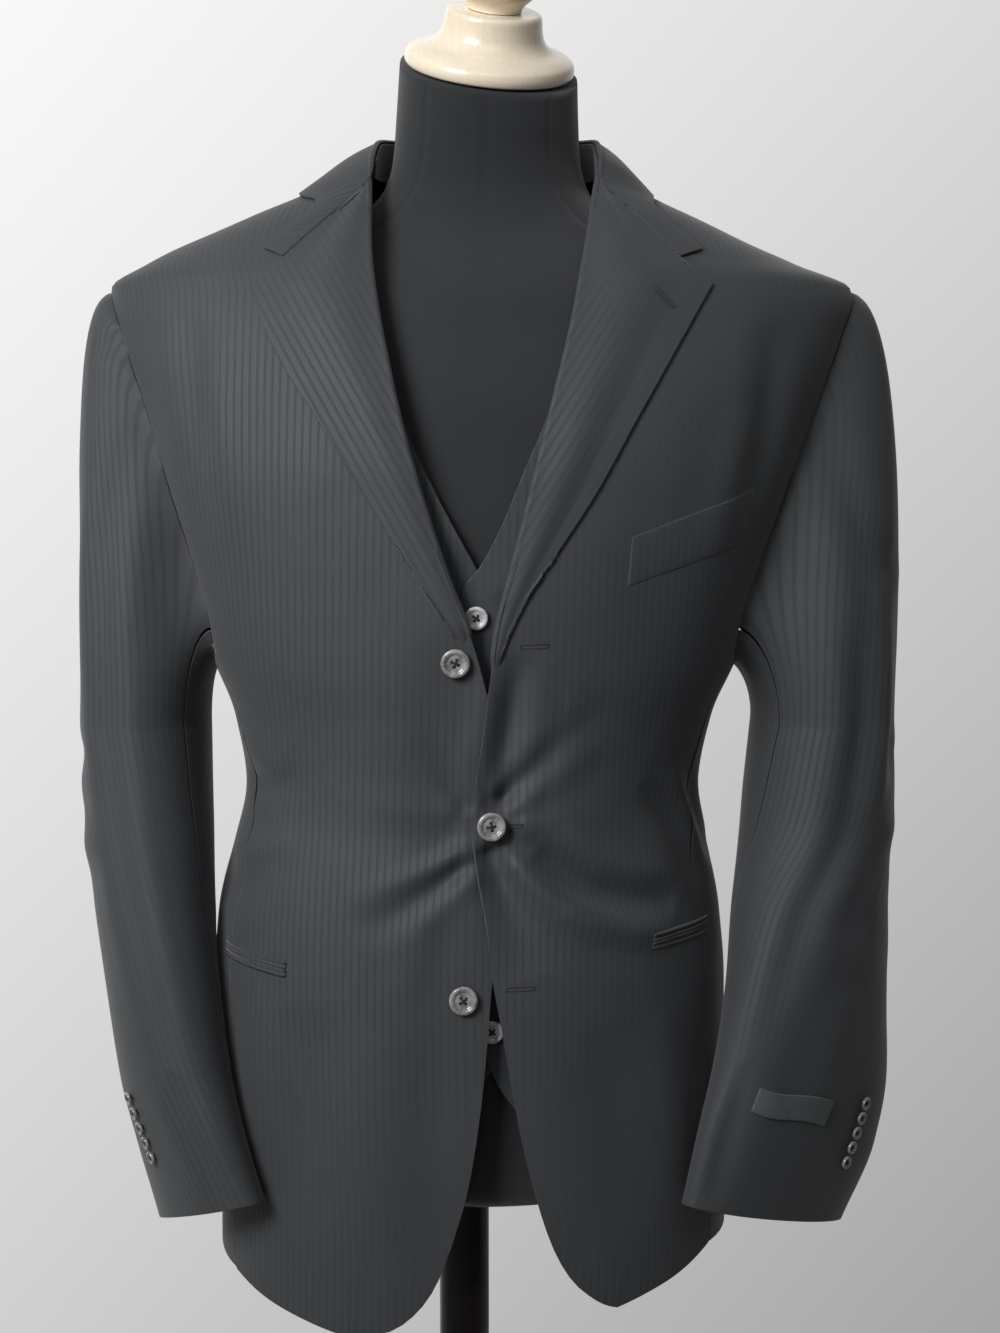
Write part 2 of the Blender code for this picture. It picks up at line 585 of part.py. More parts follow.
def collar():
    rows = collar_rows()
    grid = []
    for inner, edge, lift in along_rows(rows, spread(0, len(rows) - 1, COLLAR_STATIONS)):
        outward = Vector((edge.x, edge.y - 0.02, 0.0)).normalized() + Vector((0, 0, 0.8))
        middle = (inner + edge) / 2 + outward.normalized() * lift
        row = []
        for t in COLLAR_SHARES:
            row.append(inner * (1 - t) ** 2 + middle * 2 * t * (1 - t) + edge * t * t)
        grid.append(row)
    return cloth("jacket_collar", grid, FACING, suiting, flip=True)


def collar_stand():
    """The band inside the collar leaf, round the back of the neck."""
    tips = len(COLLAR_GORGE)
    rows = collar_rows()[tips:-tips]
    grid = []
    for top, _, _ in along_rows(rows, spread(0, len(rows) - 1, STAND_STATIONS)):
        inward = Vector((-top.x, -top.y - 0.004, 0.0)).normalized()
        behind = smooth(STAND_LOW, STAND_HIGH, top.z)
        height = STAND_HEIGHT[0] + STAND_HEIGHT[1] * behind
        head = top + inward * STAND_INSIDE + Vector((0, 0, -0.0010))
        foot = head + Vector((0, 0, -height)) - inward * STAND_SLOPE * behind
        grid.append([mix(head, foot, t) for t in (0.0, 0.5, 1.0)])
    return cloth("jacket_collar_stand", grid, FACING, suiting, flip=True)


# ---- jacket buttons: only the middle one is fastened, through the left front -----
Fastening = namedtuple("Fastening", "name side x z")
JACKET_BUTTONS = [
    Fastening("top", -1, -0.0111, 1.1664),
    Fastening("middle", +1, 0.0145, 1.0593),
    Fastening("bottom", -1, -0.0010, 0.9464),
]


# ---- pockets ------------------------------------------------------------------
def on_front_patch(name, side, corners, columns, rows, finish, out=LAY, thickness=FACING):
    """A strip that lies on a front, between four (x, z) corners in order."""
    a, b, c, d = corners
    grid = []
    for v in spread(0.0, 1.0, rows):
        row = []
        for u in spread(0.0, 1.0, columns):
            x = mix(mix(a[0], b[0], u), mix(d[0], c[0], u), v)
            z = mix(mix(a[1], b[1], u), mix(d[1], c[1], u), v)
            row.append(on_front(side, x, z, out + thickness))
        grid.append(row)
    return cloth(name, grid, thickness, finish, flip=side < 0)


WELT = ((0.0987, 1.2148), (0.1770, 1.2412), (0.1850, 1.2783), (0.1004, 1.2469))
LINING = 0.0008             # wall of the lining that hangs below the right front's hem
LINING_INSIDE = 0.0010      # and hangs this far inside the front
LINING_STRIP = ((-0.1020, 0.7208), (-0.1500, 0.7318), (-0.1500, 0.7560), (-0.1020, 0.7450))
JET_WIDTH = 0.0052
HIP_POCKET = {              # inner and outer (x, z) end of the slit, by side
    +1: ((0.1230, 0.9780), (0.1650, 0.9800)),
    -1: ((-0.1200, 0.9600), (-0.1680, 0.9635)),
}
JET_COLUMNS = 8


def hip_jet(side, level):
    (inner_x, inner_z), (outer_x, outer_z) = HIP_POCKET[side]
    low = 0.0 if level == "upper" else -JET_WIDTH - SEAM
    corners = ((inner_x, inner_z + low), (outer_x, outer_z + low),
               (outer_x, outer_z + low + JET_WIDTH), (inner_x, inner_z + low + JET_WIDTH))
    letter = "L" if side > 0 else "R"
    return on_front_patch(f"jacket_hip_jet_{level}_{letter}", side, corners, JET_COLUMNS, 2, suiting)


# ---- sleeves ------------------------------------------------------------------
SLEEVE_GAP = 0.0026         # the sleeve stays this far from the body
SLEEVE_SEAM = 0.8           # degrees of walk left beside each of a sleeve's two seams
UPPER_COLUMNS, UNDER_COLUMNS = 15, 6
HOLE_MIDDLE = 1.29          # height of the armhole's middle
CAP_REACH = (0.004, 0.028)  # how far the cap rolls out of the armhole, underarm and shoulder
CAP_FALL = 0.62             # share of the cap's drop at which it turns down the arm
CAP_STEPS = (0.0, 0.07, 0.18, 0.34, 0.54, 0.77)
SLEEVE_HEIGHTS = (1.115, 1.083, 1.050, 1.018, 0.985, 0.955, 0.925, 0.895, 0.865, 0.835, 0.807)


class Sleeve:
    """One arm of the jacket, read by a step down the arm and a walk round it."""

    def __init__(self, side, table):
        self.side = side
        rising = sorted(table, key=lambda row: row.z)
        self.ring = {name: column(rising, "z", name) for name in Ring._fields[1:]}
        self.cuff = rising[0].z

    def level(self, z, walk):
        front = Vector((self.ring["front_x"](z), self.ring["front_y"](z), z))
        rear = Vector((self.ring["rear_x"](z), self.ring["rear_y"](z), z))
        middle, reach = (front + rear) / 2, (front - rear) / 2
        across = Vector((-reach.y, reach.x, 0.0)).normalized() * self.ring["width"](z) / 2
        s, c = math.sin(math.radians(walk)), math.cos(math.radians(walk))
        point = middle + reach * s + across * c
        point.z += self.ring["rise"](z) * s
        point.x *= self.side
        return jacket.clear(point, SLEEVE_GAP)

    def seam(self, walk):
        """The sleeve's end at the armhole, just inside the panels' edge."""
        z, turn = hole_z(walk), hole_turn(walk)
        edge = jacket.out(z, turn, LAY)
        middle = jacket.out(HOLE_MIDDLE, SHOULDER_SEAM, LAY)
        inward = (middle - edge).normalized()
        point = edge + inward * 3 * SEAM
        return Vector((self.side * point.x, point.y, point.z))

    def cap(self, t, walk):
        top, low = self.seam(walk), self.level(SLEEVE_HEIGHTS[0], walk)
        drop = top.z - low.z
        upper = (1 + math.cos(math.radians(walk))) / 2
        start = top + Vector((self.side * mix(*CAP_REACH, upper), 0, 0))
        end = low + Vector((0, 0, drop * CAP_FALL))
        a, b = (1 - t) ** 3, 3 * t * (1 - t) ** 2
        c, d = 3 * t * t * (1 - t), t ** 3
        return top * a + start * b + end * c + low * d

    def rings(self):
        steps = [("cap", t) for t in CAP_STEPS] + [("level", z) for z in SLEEVE_HEIGHTS]
        return steps + [("level", self.cuff)]

    def grid(self, walks):
        rows = []
        for kind, value in self.rings():
            read = self.cap if kind == "cap" else self.level
            rows.append([read(value, walk) for walk in walks])
        return rows

    def out(self, z, walk, distance):
        """A point off the level part, with its normal."""
        point = self.level(z, walk)
        down = self.level(z - 0.004, walk) - self.level(z + 0.004, walk)
        round_ = self.level(z, walk + 2.0) - self.level(z, walk - 2.0)
        normal = round_.cross(down).normalized() * self.side
        return point + normal * distance, normal


left_sleeve, right_sleeve = Sleeve(+1, LEFT_SLEEVE), Sleeve(-1, RIGHT_SLEEVE)


def sleeve_pieces(letter, sleeve):
    low, high = UNDER_SLEEVE
    over = spread(high + SLEEVE_SEAM - 360.0, low - SLEEVE_SEAM, UPPER_COLUMNS)
    under = spread(low + SLEEVE_SEAM, high - SLEEVE_SEAM, UNDER_COLUMNS)
    cloth(f"jacket_upper_sleeve_{letter}", sleeve.grid([walk % 360 for walk in over]), CLOTH, suiting,
          flip=sleeve.side < 0)
    cloth(f"jacket_under_sleeve_{letter}", sleeve.grid(under), CLOTH, suiting, flip=sleeve.side < 0)


CUFF_BUTTON_WALK = {+1: -20.0, -1: 0.0}
CUFF_BUTTON_FOOT = 0.0405   # lowest cuff button above the cuff's edge


def cuff_buttons(letter, sleeve):
    for i in range(CUFF_BUTTONS):
        z = sleeve.cuff + CUFF_BUTTON_FOOT + (CUFF_BUTTONS - 1 - i) * CUFF_BUTTON_STEP
        point, normal = sleeve.out(z, CUFF_BUTTON_WALK[sleeve.side], 0.0)
        button(f"cuff_button_{letter}_{i + 1}", point, normal, CUFF_BUTTON, horn, sides=12)


LABEL_Z = (0.8512, 0.8680)  # lower and upper edge at the label's inner end
LABEL_WALK = (55.0, 6.0)   # inner and outer end
LABEL_DROP = 0.0065         # the outer end hangs this much lower
LABEL_RIBBON = 0.0010


def sleeve_label():
    grid = []
    for z in spread(*LABEL_Z, 3):
        row = []
        for share in spread(1.0, 0.0, 8):
            place = left_sleeve.out(z - LABEL_DROP * share, mix(*LABEL_WALK, share), LAY + LABEL_RIBBON)
            row.append(place[0])
        grid.append(row)
    return cloth("sleeve_label", grid, LABEL_RIBBON, ribbon, flip=True)


# ---- waistcoat ----------------------------------------------------------------
WAISTCOAT_HEIGHTS = (0.8450, 0.8560, 0.8692, 0.8870, 0.9214, 0.970, 1.020, 1.070, 1.110, 1.125, 1.135,
                     1.160, 1.1948, 1.2134, 1.2262, 1.2516, 1.300, 1.350, 1.400, 1.4430)
WAISTCOAT_BACK_HEIGHTS = (0.94, 0.99, 1.03, 1.07, 1.11, 1.125, 1.135, 1.17, 1.23, 1.30, 1.37, 1.41, 1.443)
WAISTCOAT_SIDE_HEM = 0.885
WAISTCOAT_RISE_FADES = 0.98
WAISTCOAT_SHARES = (0.0, 0.07, 0.17, 0.30, 0.46, 0.64, 0.82, 1.0)
WAISTCOAT_BACK_COLUMNS = 13
WAISTCOAT_UNDER_X = (-0.040, -0.012)    # the right front passes under the left between these
WAISTCOAT_UNDER_Z = (1.2134, 1.25)      # and up to here
WAISTCOAT_BUTTON_X = (0.0014, 0.0181)   # top and lowest button


def waistcoat_limit(z):
    """Turn of the waistcoat's side seam or armhole edge, front half."""
    hole = column(WAISTCOAT_ARMHOLE, "z", "x")
    if z < WAISTCOAT_ARMHOLE[0].z:
        return SHOULDER_SEAM - math.degrees(SEAM / 2 / waistcoat.half(z))
    return waistcoat.turn_of(z, hole(z))


def waistcoat_front(name, side, edge):
    inner = column(edge, "z", "x")
    grid = []
    for height in WAISTCOAT_HEIGHTS:
        start, stop = waistcoat.turn_of(height, inner(height)), side * waistcoat_limit(height)
        fade = 1.0 - smooth(edge[0].z, WAISTCOAT_RISE_FADES, height)
        overlap = 1.0 - smooth(*WAISTCOAT_UNDER_Z, height)
        row = []
        for share in WAISTCOAT_SHARES:
            z = height + (WAISTCOAT_SIDE_HEM - edge[0].z) * share * fade
            turn = mix(start, stop, share)
            x = waistcoat.at(z, turn).x
            under = -UNDER_DEPTH * smooth(*WAISTCOAT_UNDER_X, x) * overlap if side < 0 else 0.0
            row.append(waistcoat.out(z, turn, under))
        grid.append(row)
    return cloth(name, grid, CLOTH, suiting, flip=side < 0)


def waistcoat_back():
    grid = []
    for z in (WAISTCOAT_SIDE_HEM,) + WAISTCOAT_BACK_HEIGHTS:
        limit = 180.0 - waistcoat_limit(z)
        turns = spread(limit, 360.0 - limit, WAISTCOAT_BACK_COLUMNS)
        grid.append([waistcoat.at(z, turn) for turn in turns])
    return cloth("waistcoat_back", grid, CLOTH, suiting)


def waistcoat_buttons():
    for i in range(WAISTCOAT_BUTTONS):
        z = WAISTCOAT_TOP_BUTTON - i * WAISTCOAT_BUTTON_STEP
        turn = waistcoat.turn_of(z, mix(*WAISTCOAT_BUTTON_X, i / (WAISTCOAT_BUTTONS - 1)))
        button(f"waistcoat_button_{i + 1}", waistcoat.at(z, turn), waistcoat.normal(z, turn),
               WAISTCOAT_BUTTON, silver)


# ---- dress form and stand -------------------------------------------------------
NECK_TOP = FORM[-1].z
TILT_FROM = 1.490           # the neck starts to slope here
FORM_SIDES = 24


def neck_slope(x, y):
    return y * math.tan(math.radians(NECK_TILT)) - x * math.tan(math.radians(NECK_ROLL))


def form_torso():
    mesh = bmesh.new()
    turns = spread(0.0, 360.0, FORM_SIDES + 1)[:-1]
    rings = []
    for row in FORM:
        ring = []
        for turn in turns:
            point = form.at(row.z, turn)
            point.z += neck_slope(point.x, point.y) * smooth(TILT_FROM, NECK_TOP, row.z)
            ring.append(mesh.verts.new(lean(point)))
        rings.append(ring)
    for low, high in zip(rings, rings[1:]):
        for i, here in enumerate(low):
            after = (i + 1) % len(low)
            mesh.faces.new((here, low[after], high[after], high[i]))
    mesh.faces.new(list(reversed(rings[0])))
    mesh.faces.new(rings[-1])
    data = bpy.data.meshes.new("form_torso")
    mesh.to_mesh(data)
    mesh.free()
    data.shade_smooth()
    obj = bpy.data.objects.new("form_torso", data)
    parts.objects.link(obj)
    data.materials.append(jersey)
    return obj


CAP_PROFILE = [             # shares of the cap's radius and height, from the top down
    (0.00, 1.00), (0.52, 1.00), (0.56, 0.93), (0.60, 0.62), (0.72, 0.42), (0.90, 0.32),
    (0.985, 0.22), (1.00, 0.12), (0.98, 0.03), (0.94, 0.0), (0.00, 0.0),
]
KNOB_PROFILE = [
    (0.00, 1.00), (0.40, 0.98), (0.72, 0.90), (0.95, 0.70), (1.00, 0.50),
    (0.93, 0.28), (0.72, 0.12), (0.66, 0.0), (0.00, 0.0),
]
CAP_SEAT = 0.0008           # the cap stands off the neck's top by this much


def neck_fittings():
    axis = Vector((math.tan(math.radians(NECK_ROLL)), -math.tan(math.radians(NECK_TILT)), 1.0))
    axis.normalize()
    foot = lean(Vector((0.0, (form.back(NECK_TOP) - form.front(NECK_TOP)) / 2, NECK_TOP)))
    twist = axis.to_track_quat("Z", "Y")
    cap = turned("form_neck_cap", [(r * CAP_RADIUS, h * CAP_HEIGHT) for r, h in CAP_PROFILE], maple)
    knob = turned("form_cap_knob", [(r * KNOB_RADIUS, h * KNOB_HEIGHT) for r, h in KNOB_PROFILE], maple,
                  sides=20)
    for obj, rise in ((cap, CAP_SEAT), (knob, CAP_SEAT + CAP_HEIGHT + LAY)):
        obj.rotation_mode = "QUATERNION"
        obj.rotation_quaternion = twist
        obj.location = foot + axis * rise


BASE_PROFILE = [            # hub, its foot, the plate's slope, the round rim, the underside
    (0.0, BASE_HEIGHT), (BASE_HUB_RADIUS - 0.0034, BASE_HEIGHT), (BASE_HUB_RADIUS, BASE_HEIGHT - 0.003),
    (BASE_HUB_RADIUS, 0.022), (BASE_HUB_RADIUS + 0.012, BASE_THICKNESS + 0.005),
    (BASE_RADIUS - 0.010, BASE_THICKNESS), (BASE_RADIUS - 0.002, BASE_THICKNESS - 0.002),
    (BASE_RADIUS, BASE_THICKNESS / 2), (BASE_RADIUS - 0.001, 0.0), (0.0, 0.0),
]
SHARP_ANGLE = math.radians(40)


def stand():
    turned("stand_base", BASE_PROFILE, dark_metal, sides=32)
    low, high = BASE_HEIGHT + LAY, FORM[0].z - LAY
    bpy.ops.mesh.primitive_cylinder_add(vertices=24, radius=POLE_RADIUS, depth=high - low,
                                        location=(0.0, 0.0, (low + high) / 2))
    pole = bpy.context.object
    pole.name = "stand_pole"
    pole.data.shade_smooth()
    pole.data.set_sharp_from_angle(angle=SHARP_ANGLE)
    keep(pole, dark_metal)


# ---- build ------------------------------------------------------------------
for old in list(bpy.data.objects):
    bpy.data.objects.remove(old, do_unlink=True)
parts = bpy.data.collections.new("suit_on_dress_form")
bpy.context.scene.collection.children.link(parts)

suiting = material("charcoal_wool", (0.055, 0.058, 0.064), 0.75)
jersey = material("black_jersey", (0.022, 0.023, 0.026), 0.85)
maple = material("pale_maple", (0.87, 0.70, 0.50), 0.25)
dark_metal = material("dark_brown_metal", (0.020, 0.010, 0.009), 0.35, 0.6)
horn = material("grey_pearl", (0.30, 0.30, 0.31), 0.20)
silver = material("silver_pearl", (0.55, 0.56, 0.58), 0.20)
ribbon = material("grey_teal_ribbon", (0.060, 0.080, 0.085), 0.60)
lining = material("burgundy_lining", (0.20, 0.030, 0.040), 0.45)

form_torso()
neck_fittings()
stand()

jacket_front("jacket_front_L", +1, LEFT_FRONT_EDGE)
jacket_front("jacket_front_R", -1, RIGHT_FRONT_EDGE)
jacket_side("jacket_side_L", +1, FRONT_HEM[+1], BACK_HEM[+1])
jacket_side("jacket_side_R", -1, FRONT_HEM[-1], BACK_HEM[-1])
jacket_back("jacket_back_L", +1, BACK_HEM[+1])
jacket_back("jacket_back_R", -1, BACK_HEM[-1])
lapel("jacket_lapel_L", +1, LEFT_FRONT_EDGE, LEFT_LAPEL_EDGE, LAPEL_FOOT[+1])
lapel("jacket_lapel_R", -1, RIGHT_FRONT_EDGE, RIGHT_LAPEL_EDGE, LAPEL_FOOT[-1])
collar()
collar_stand()
on_front_patch("jacket_breast_welt", +1, WELT, 7, 3, suiting)
on_front_patch("jacket_lining_hem_R", -1, LINING_STRIP, 6, 2, lining, out=-CLOTH - LINING_INSIDE - LINING,
               thickness=LINING)
for pocket_side in (+1, -1):
    hip_jet(pocket_side, "upper")
    hip_jet(pocket_side, "lower")
sleeve_pieces("L", left_sleeve)
sleeve_pieces("R", right_sleeve)
cuff_buttons("L", left_sleeve)
cuff_buttons("R", right_sleeve)
sleeve_label()

for row in JACKET_BUTTONS:
    button_place = on_front(row.side, row.x, row.z, 0.0)
    button_normal = jacket.normal(row.z, jacket.turn_of(row.z, row.x))
    button(f"jacket_button_{row.name}", button_place, button_normal, JACKET_BUTTON, horn)

waistcoat_front("waistcoat_front_L", +1, LEFT_WAISTCOAT_EDGE)
waistcoat_front("waistcoat_front_R", -1, RIGHT_WAISTCOAT_EDGE)
waistcoat_back()
waistcoat_buttons()
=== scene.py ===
"""Looks of a suit jacket and waistcoat worn by a limbless dress form.

Metres, +Z up.  The front of the suit faces -Y, and +X is the wearer's left.
Every cloth piece is a fine grid of points on the skin of the jacket or the
waistcoat, creased, thickened and lined.  A place on a skin is a height z and a
turn in degrees: 0 is the front centre, 90 the wearer's left side, 180 the back.
"""
import json
import math
from collections import namedtuple

import bmesh
import bpy
from mathutils import Matrix, Vector, noise

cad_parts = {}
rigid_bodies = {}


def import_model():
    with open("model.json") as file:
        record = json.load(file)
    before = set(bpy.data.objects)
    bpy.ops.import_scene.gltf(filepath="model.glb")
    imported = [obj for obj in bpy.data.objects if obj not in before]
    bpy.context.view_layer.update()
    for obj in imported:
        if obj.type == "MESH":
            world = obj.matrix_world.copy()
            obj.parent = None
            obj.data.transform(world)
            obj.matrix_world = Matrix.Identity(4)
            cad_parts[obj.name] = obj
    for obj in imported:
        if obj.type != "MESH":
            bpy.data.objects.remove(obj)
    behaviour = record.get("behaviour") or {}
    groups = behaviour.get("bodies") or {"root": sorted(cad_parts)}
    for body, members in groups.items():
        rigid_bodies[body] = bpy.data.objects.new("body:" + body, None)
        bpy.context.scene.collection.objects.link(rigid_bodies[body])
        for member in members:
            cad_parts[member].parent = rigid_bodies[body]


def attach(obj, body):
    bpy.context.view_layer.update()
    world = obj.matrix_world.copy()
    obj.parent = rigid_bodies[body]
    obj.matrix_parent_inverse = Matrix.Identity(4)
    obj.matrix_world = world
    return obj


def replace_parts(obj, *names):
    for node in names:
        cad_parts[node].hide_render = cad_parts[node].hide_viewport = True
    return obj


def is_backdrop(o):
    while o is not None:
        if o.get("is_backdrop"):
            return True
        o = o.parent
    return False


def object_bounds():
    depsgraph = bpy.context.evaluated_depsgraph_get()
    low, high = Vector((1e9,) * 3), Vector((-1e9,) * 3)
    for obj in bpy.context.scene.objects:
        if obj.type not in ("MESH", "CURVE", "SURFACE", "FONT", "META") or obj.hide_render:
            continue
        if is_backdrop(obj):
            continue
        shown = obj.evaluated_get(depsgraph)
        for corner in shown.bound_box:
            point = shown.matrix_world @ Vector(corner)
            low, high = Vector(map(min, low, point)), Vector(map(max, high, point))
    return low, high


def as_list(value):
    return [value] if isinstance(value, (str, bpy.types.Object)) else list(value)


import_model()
cad_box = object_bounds()

# ---- driving dimensions ---------------------------------------------------
CLOTH = 0.0016              # wall of a lined suiting panel
FACING = 0.0014             # wall of a lapel, collar leaf, welt or jet
SEAM = 0.0004               # clearance between two neighbouring pieces
LAY = 0.0004                # clearance between a piece and the panel it lies on
SQUARE = 2.3                # superellipse power of the body's level sections
LEAN = 0.024                # the dressed form leans to the wearer's left
LEAN_FROM = 0.790           # height at which the lean starts to count
FRONT_HEM = {+1: 0.7550, -1: 0.7370}    # hem at the side panel's front seam, by side
BACK_HEM = {+1: 0.7480, -1: 0.7420}
LAPEL_FOOT = {+1: 1.1520, -1: 1.1690}
LETTER = {+1: "L", -1: "R"}

BASE_RADIUS = 0.190
BASE_HUB_RADIUS = 0.034
BASE_HEIGHT = 0.034
BASE_THICKNESS = 0.0115     # of the plate near its rim
POLE_RADIUS = 0.0183
NECK_TILT = 25.0            # the neck's top faces forward by this many degrees
NECK_ROLL = 6.5             # and to the wearer's left by this many
CAP_RADIUS = 0.0595
CAP_HEIGHT = 0.040
KNOB_RADIUS = 0.0285
KNOB_HEIGHT = 0.038

JACKET_BUTTON = (0.0190, 0.0036)        # diameter, thickness
WAISTCOAT_BUTTON = (0.0155, 0.0026)
CUFF_BUTTON = (0.0093, 0.0026)
CUFF_BUTTON_STEP = 0.0096
SHANK = 0.0013              # a button stands on its threads by this much
CUFF_BUTTONS = 5
WAISTCOAT_BUTTONS = 6
WAISTCOAT_TOP_BUTTON = 1.1948
WAISTCOAT_BUTTON_STEP = 0.0547


def table(columns, *rows):
    """Rows whose columns have names."""
    kind = namedtuple("Row", columns)
    return [kind(*row) for row in rows]


# ---- level sections: half width, depth forward, depth backward, sideways shift
SECTION = "z half front back mid"
JACKET = table(
    SECTION,
    (0.700, 0.1830, 0.152, 0.140, 0.008),
    (0.760, 0.1835, 0.152, 0.140, 0.008),
    (0.850, 0.1840, 0.151, 0.140, 0.004),
    (0.930, 0.1835, 0.149, 0.136, 0.001),
    (0.980, 0.1800, 0.146, 0.130, 0.000),
    (1.030, 0.1695, 0.141, 0.118, 0.000),
    (1.072, 0.1615, 0.137, 0.109, 0.000),
    (1.120, 0.1700, 0.140, 0.111, 0.000),
    (1.160, 0.1860, 0.144, 0.118, 0.000),
    (1.220, 0.2030, 0.146, 0.126, 0.000),
    (1.280, 0.2230, 0.144, 0.130, 0.000),
    (1.340, 0.2430, 0.132, 0.130, 0.000),
    (1.380, 0.2560, 0.117, 0.124, 0.000),
    (1.403, 0.2610, 0.106, 0.118, 0.000),
    (1.417, 0.2590, 0.098, 0.114, -0.002),
    (1.4325, 0.2290, 0.089, 0.109, -0.009),
    (1.4484, 0.1950, 0.078, 0.105, -0.011),
    (1.4670, 0.1540, 0.064, 0.100, -0.009),
    (1.4825, 0.1190, 0.050, 0.095, -0.007),
    (1.4994, 0.0950, 0.036, 0.089, -0.006),
    (1.5250, 0.0790, 0.020, 0.080, -0.002),
)
WAISTCOAT = table(
    SECTION,
    (0.820, 0.1640, 0.130, 0.122, 0.004),
    (0.900, 0.1670, 0.132, 0.124, 0.002),
    (0.980, 0.1650, 0.131, 0.118, 0.000),
    (1.030, 0.1575, 0.127, 0.108, 0.000),
    (1.072, 0.1510, 0.123, 0.099, 0.000),
    (1.120, 0.1570, 0.126, 0.101, 0.000),
    (1.160, 0.1680, 0.130, 0.108, 0.000),
    (1.220, 0.1820, 0.133, 0.116, 0.000),
    (1.280, 0.1950, 0.131, 0.119, 0.000),
    (1.340, 0.2030, 0.121, 0.119, 0.000),
    (1.380, 0.2120, 0.108, 0.113, 0.000),
    (1.405, 0.2160, 0.096, 0.108, 0.000),
    (1.4230, 0.2080, 0.086, 0.102, 0.000),
    (1.4390, 0.1820, 0.075, 0.097, 0.000),
    (1.4560, 0.1440, 0.063, 0.092, 0.000),
    (1.4720, 0.1100, 0.051, 0.086, 0.000),
    (1.4890, 0.0880, 0.042, 0.079, 0.000),
    (1.5100, 0.0760, 0.034, 0.072, 0.000),
)
FORM = table(
    SECTION,
    (0.790, 0.1400, 0.104, 0.100, 0.003),
    (0.798, 0.1520, 0.116, 0.112, 0.003),
    (0.830, 0.1580, 0.122, 0.116, 0.003),
    (0.900, 0.1600, 0.124, 0.117, 0.001),
    (0.980, 0.1570, 0.122, 0.110, 0.000),
    (1.030, 0.1500, 0.118, 0.100, 0.000),
    (1.072, 0.1440, 0.115, 0.092, 0.000),
    (1.120, 0.1500, 0.118, 0.094, 0.000),
    (1.180, 0.1660, 0.123, 0.103, 0.000),
    (1.250, 0.1820, 0.124, 0.110, 0.000),
    (1.320, 0.1930, 0.117, 0.112, 0.000),
    (1.370, 0.1970, 0.103, 0.108, 0.000),
    (1.400, 0.1930, 0.091, 0.101, 0.000),
    (1.4180, 0.1760, 0.080, 0.095, 0.000),
    (1.4350, 0.1480, 0.068, 0.088, 0.000),
    (1.4500, 0.1180, 0.058, 0.081, 0.000),
    (1.4660, 0.0900, 0.051, 0.073, 0.000),
    (1.4840, 0.0720, 0.048, 0.065, 0.000),
    (1.5050, 0.0655, 0.050, 0.059, 0.000),
    (1.5360, 0.0635, 0.054, 0.056, 0.000),
    (1.5680, 0.0620, 0.057, 0.055, 0.000),
)

# ---- edges of the fronts, as distance x from the stand's axis at height z ----
EDGE = "z x"
LEFT_FRONT_EDGE = table(    # wearer's left front, on top: cutaway, front edge, roll line
    EDGE,
    (0.7335, 0.1060), (0.7361, 0.0990), (0.7444, 0.0870), (0.7558, 0.0755),
    (0.7748, 0.0640), (0.7918, 0.0570), (0.8166, 0.0490), (0.8461, 0.0409),
    (0.8800, 0.0335), (0.9272, 0.0243), (0.9575, 0.0181), (0.9890, 0.0140),
    (1.0307, 0.0062), (1.0620, 0.0020), (1.0905, 0.0042), (1.1200, 0.0080),
    (1.1442, 0.0105), (1.1884, 0.0158), (1.2223, 0.0235), (1.2453, 0.0290),
    (1.3293, 0.0478), (1.3887, 0.0608), (1.4163, 0.0655), (1.4507, 0.0712),
    (1.4835, 0.0760), (1.5050, 0.0810),
)
RIGHT_FRONT_EDGE = table(   # wearer's right front, underneath
    EDGE,
    (0.7150, -0.0700), (0.7221, -0.0454), (0.7290, -0.0345), (0.7416, -0.0225),
    (0.7547, -0.0148), (0.7700, -0.0090), (0.7854, -0.0040), (0.8206, 0.0050),
    (0.8543, 0.0099), (0.8851, 0.0131), (0.9260, 0.0158), (0.9555, 0.0175),
    (1.0000, 0.0235), (1.0600, 0.0268), (1.1000, 0.0215), (1.1430, 0.0103),
    (1.1865, -0.0029), (1.2147, -0.0150), (1.2453, -0.0265), (1.3216, -0.0509),
    (1.3577, -0.0600), (1.3934, -0.0683), (1.4322, -0.0752), (1.4869, -0.0800),
    (1.5050, -0.0830),
)
LEFT_LAPEL_EDGE = table(    # outer edge, tip at 1.4114, then notch and gorge seam
    EDGE,
    (1.1520, 0.0150), (1.1716, 0.0190), (1.1999, 0.0303), (1.2331, 0.0500),
    (1.2719, 0.0744), (1.3309, 0.1064), (1.3886, 0.1385), (1.4114, 0.1515),
    (1.4292, 0.1308), (1.4530, 0.1080), (1.4760, 0.0855),
    (1.4900, 0.0765),
)
RIGHT_LAPEL_EDGE = table(
    EDGE,
    (1.1520, 0.0030), (1.1720, -0.0075), (1.1948, -0.0205), (1.2095, -0.0302),
    (1.2579, -0.0614), (1.3284, -0.1075), (1.3546, -0.1258), (1.3896, -0.1445),
    (1.4114, -0.1515), (1.4270, -0.1342), (1.4530, -0.1090), (1.4760, -0.0860),
    (1.4900, -0.0770),
)
LEFT_WAISTCOAT_EDGE = table(    # on top: point, front edge, V
    EDGE,
    (0.8450, 0.0600), (0.8560, 0.0450), (0.8692, 0.0335), (0.8870, 0.0215),
    (0.9214, 0.0085), (1.0600, -0.0008), (1.1948, -0.0095), (1.2134, -0.0075),
    (1.2262, 0.0020), (1.2516, 0.0154), (1.2897, 0.0304), (1.3293, 0.0460),
    (1.4000, 0.0660), (1.4500, 0.0770), (1.4860, 0.0830),
)
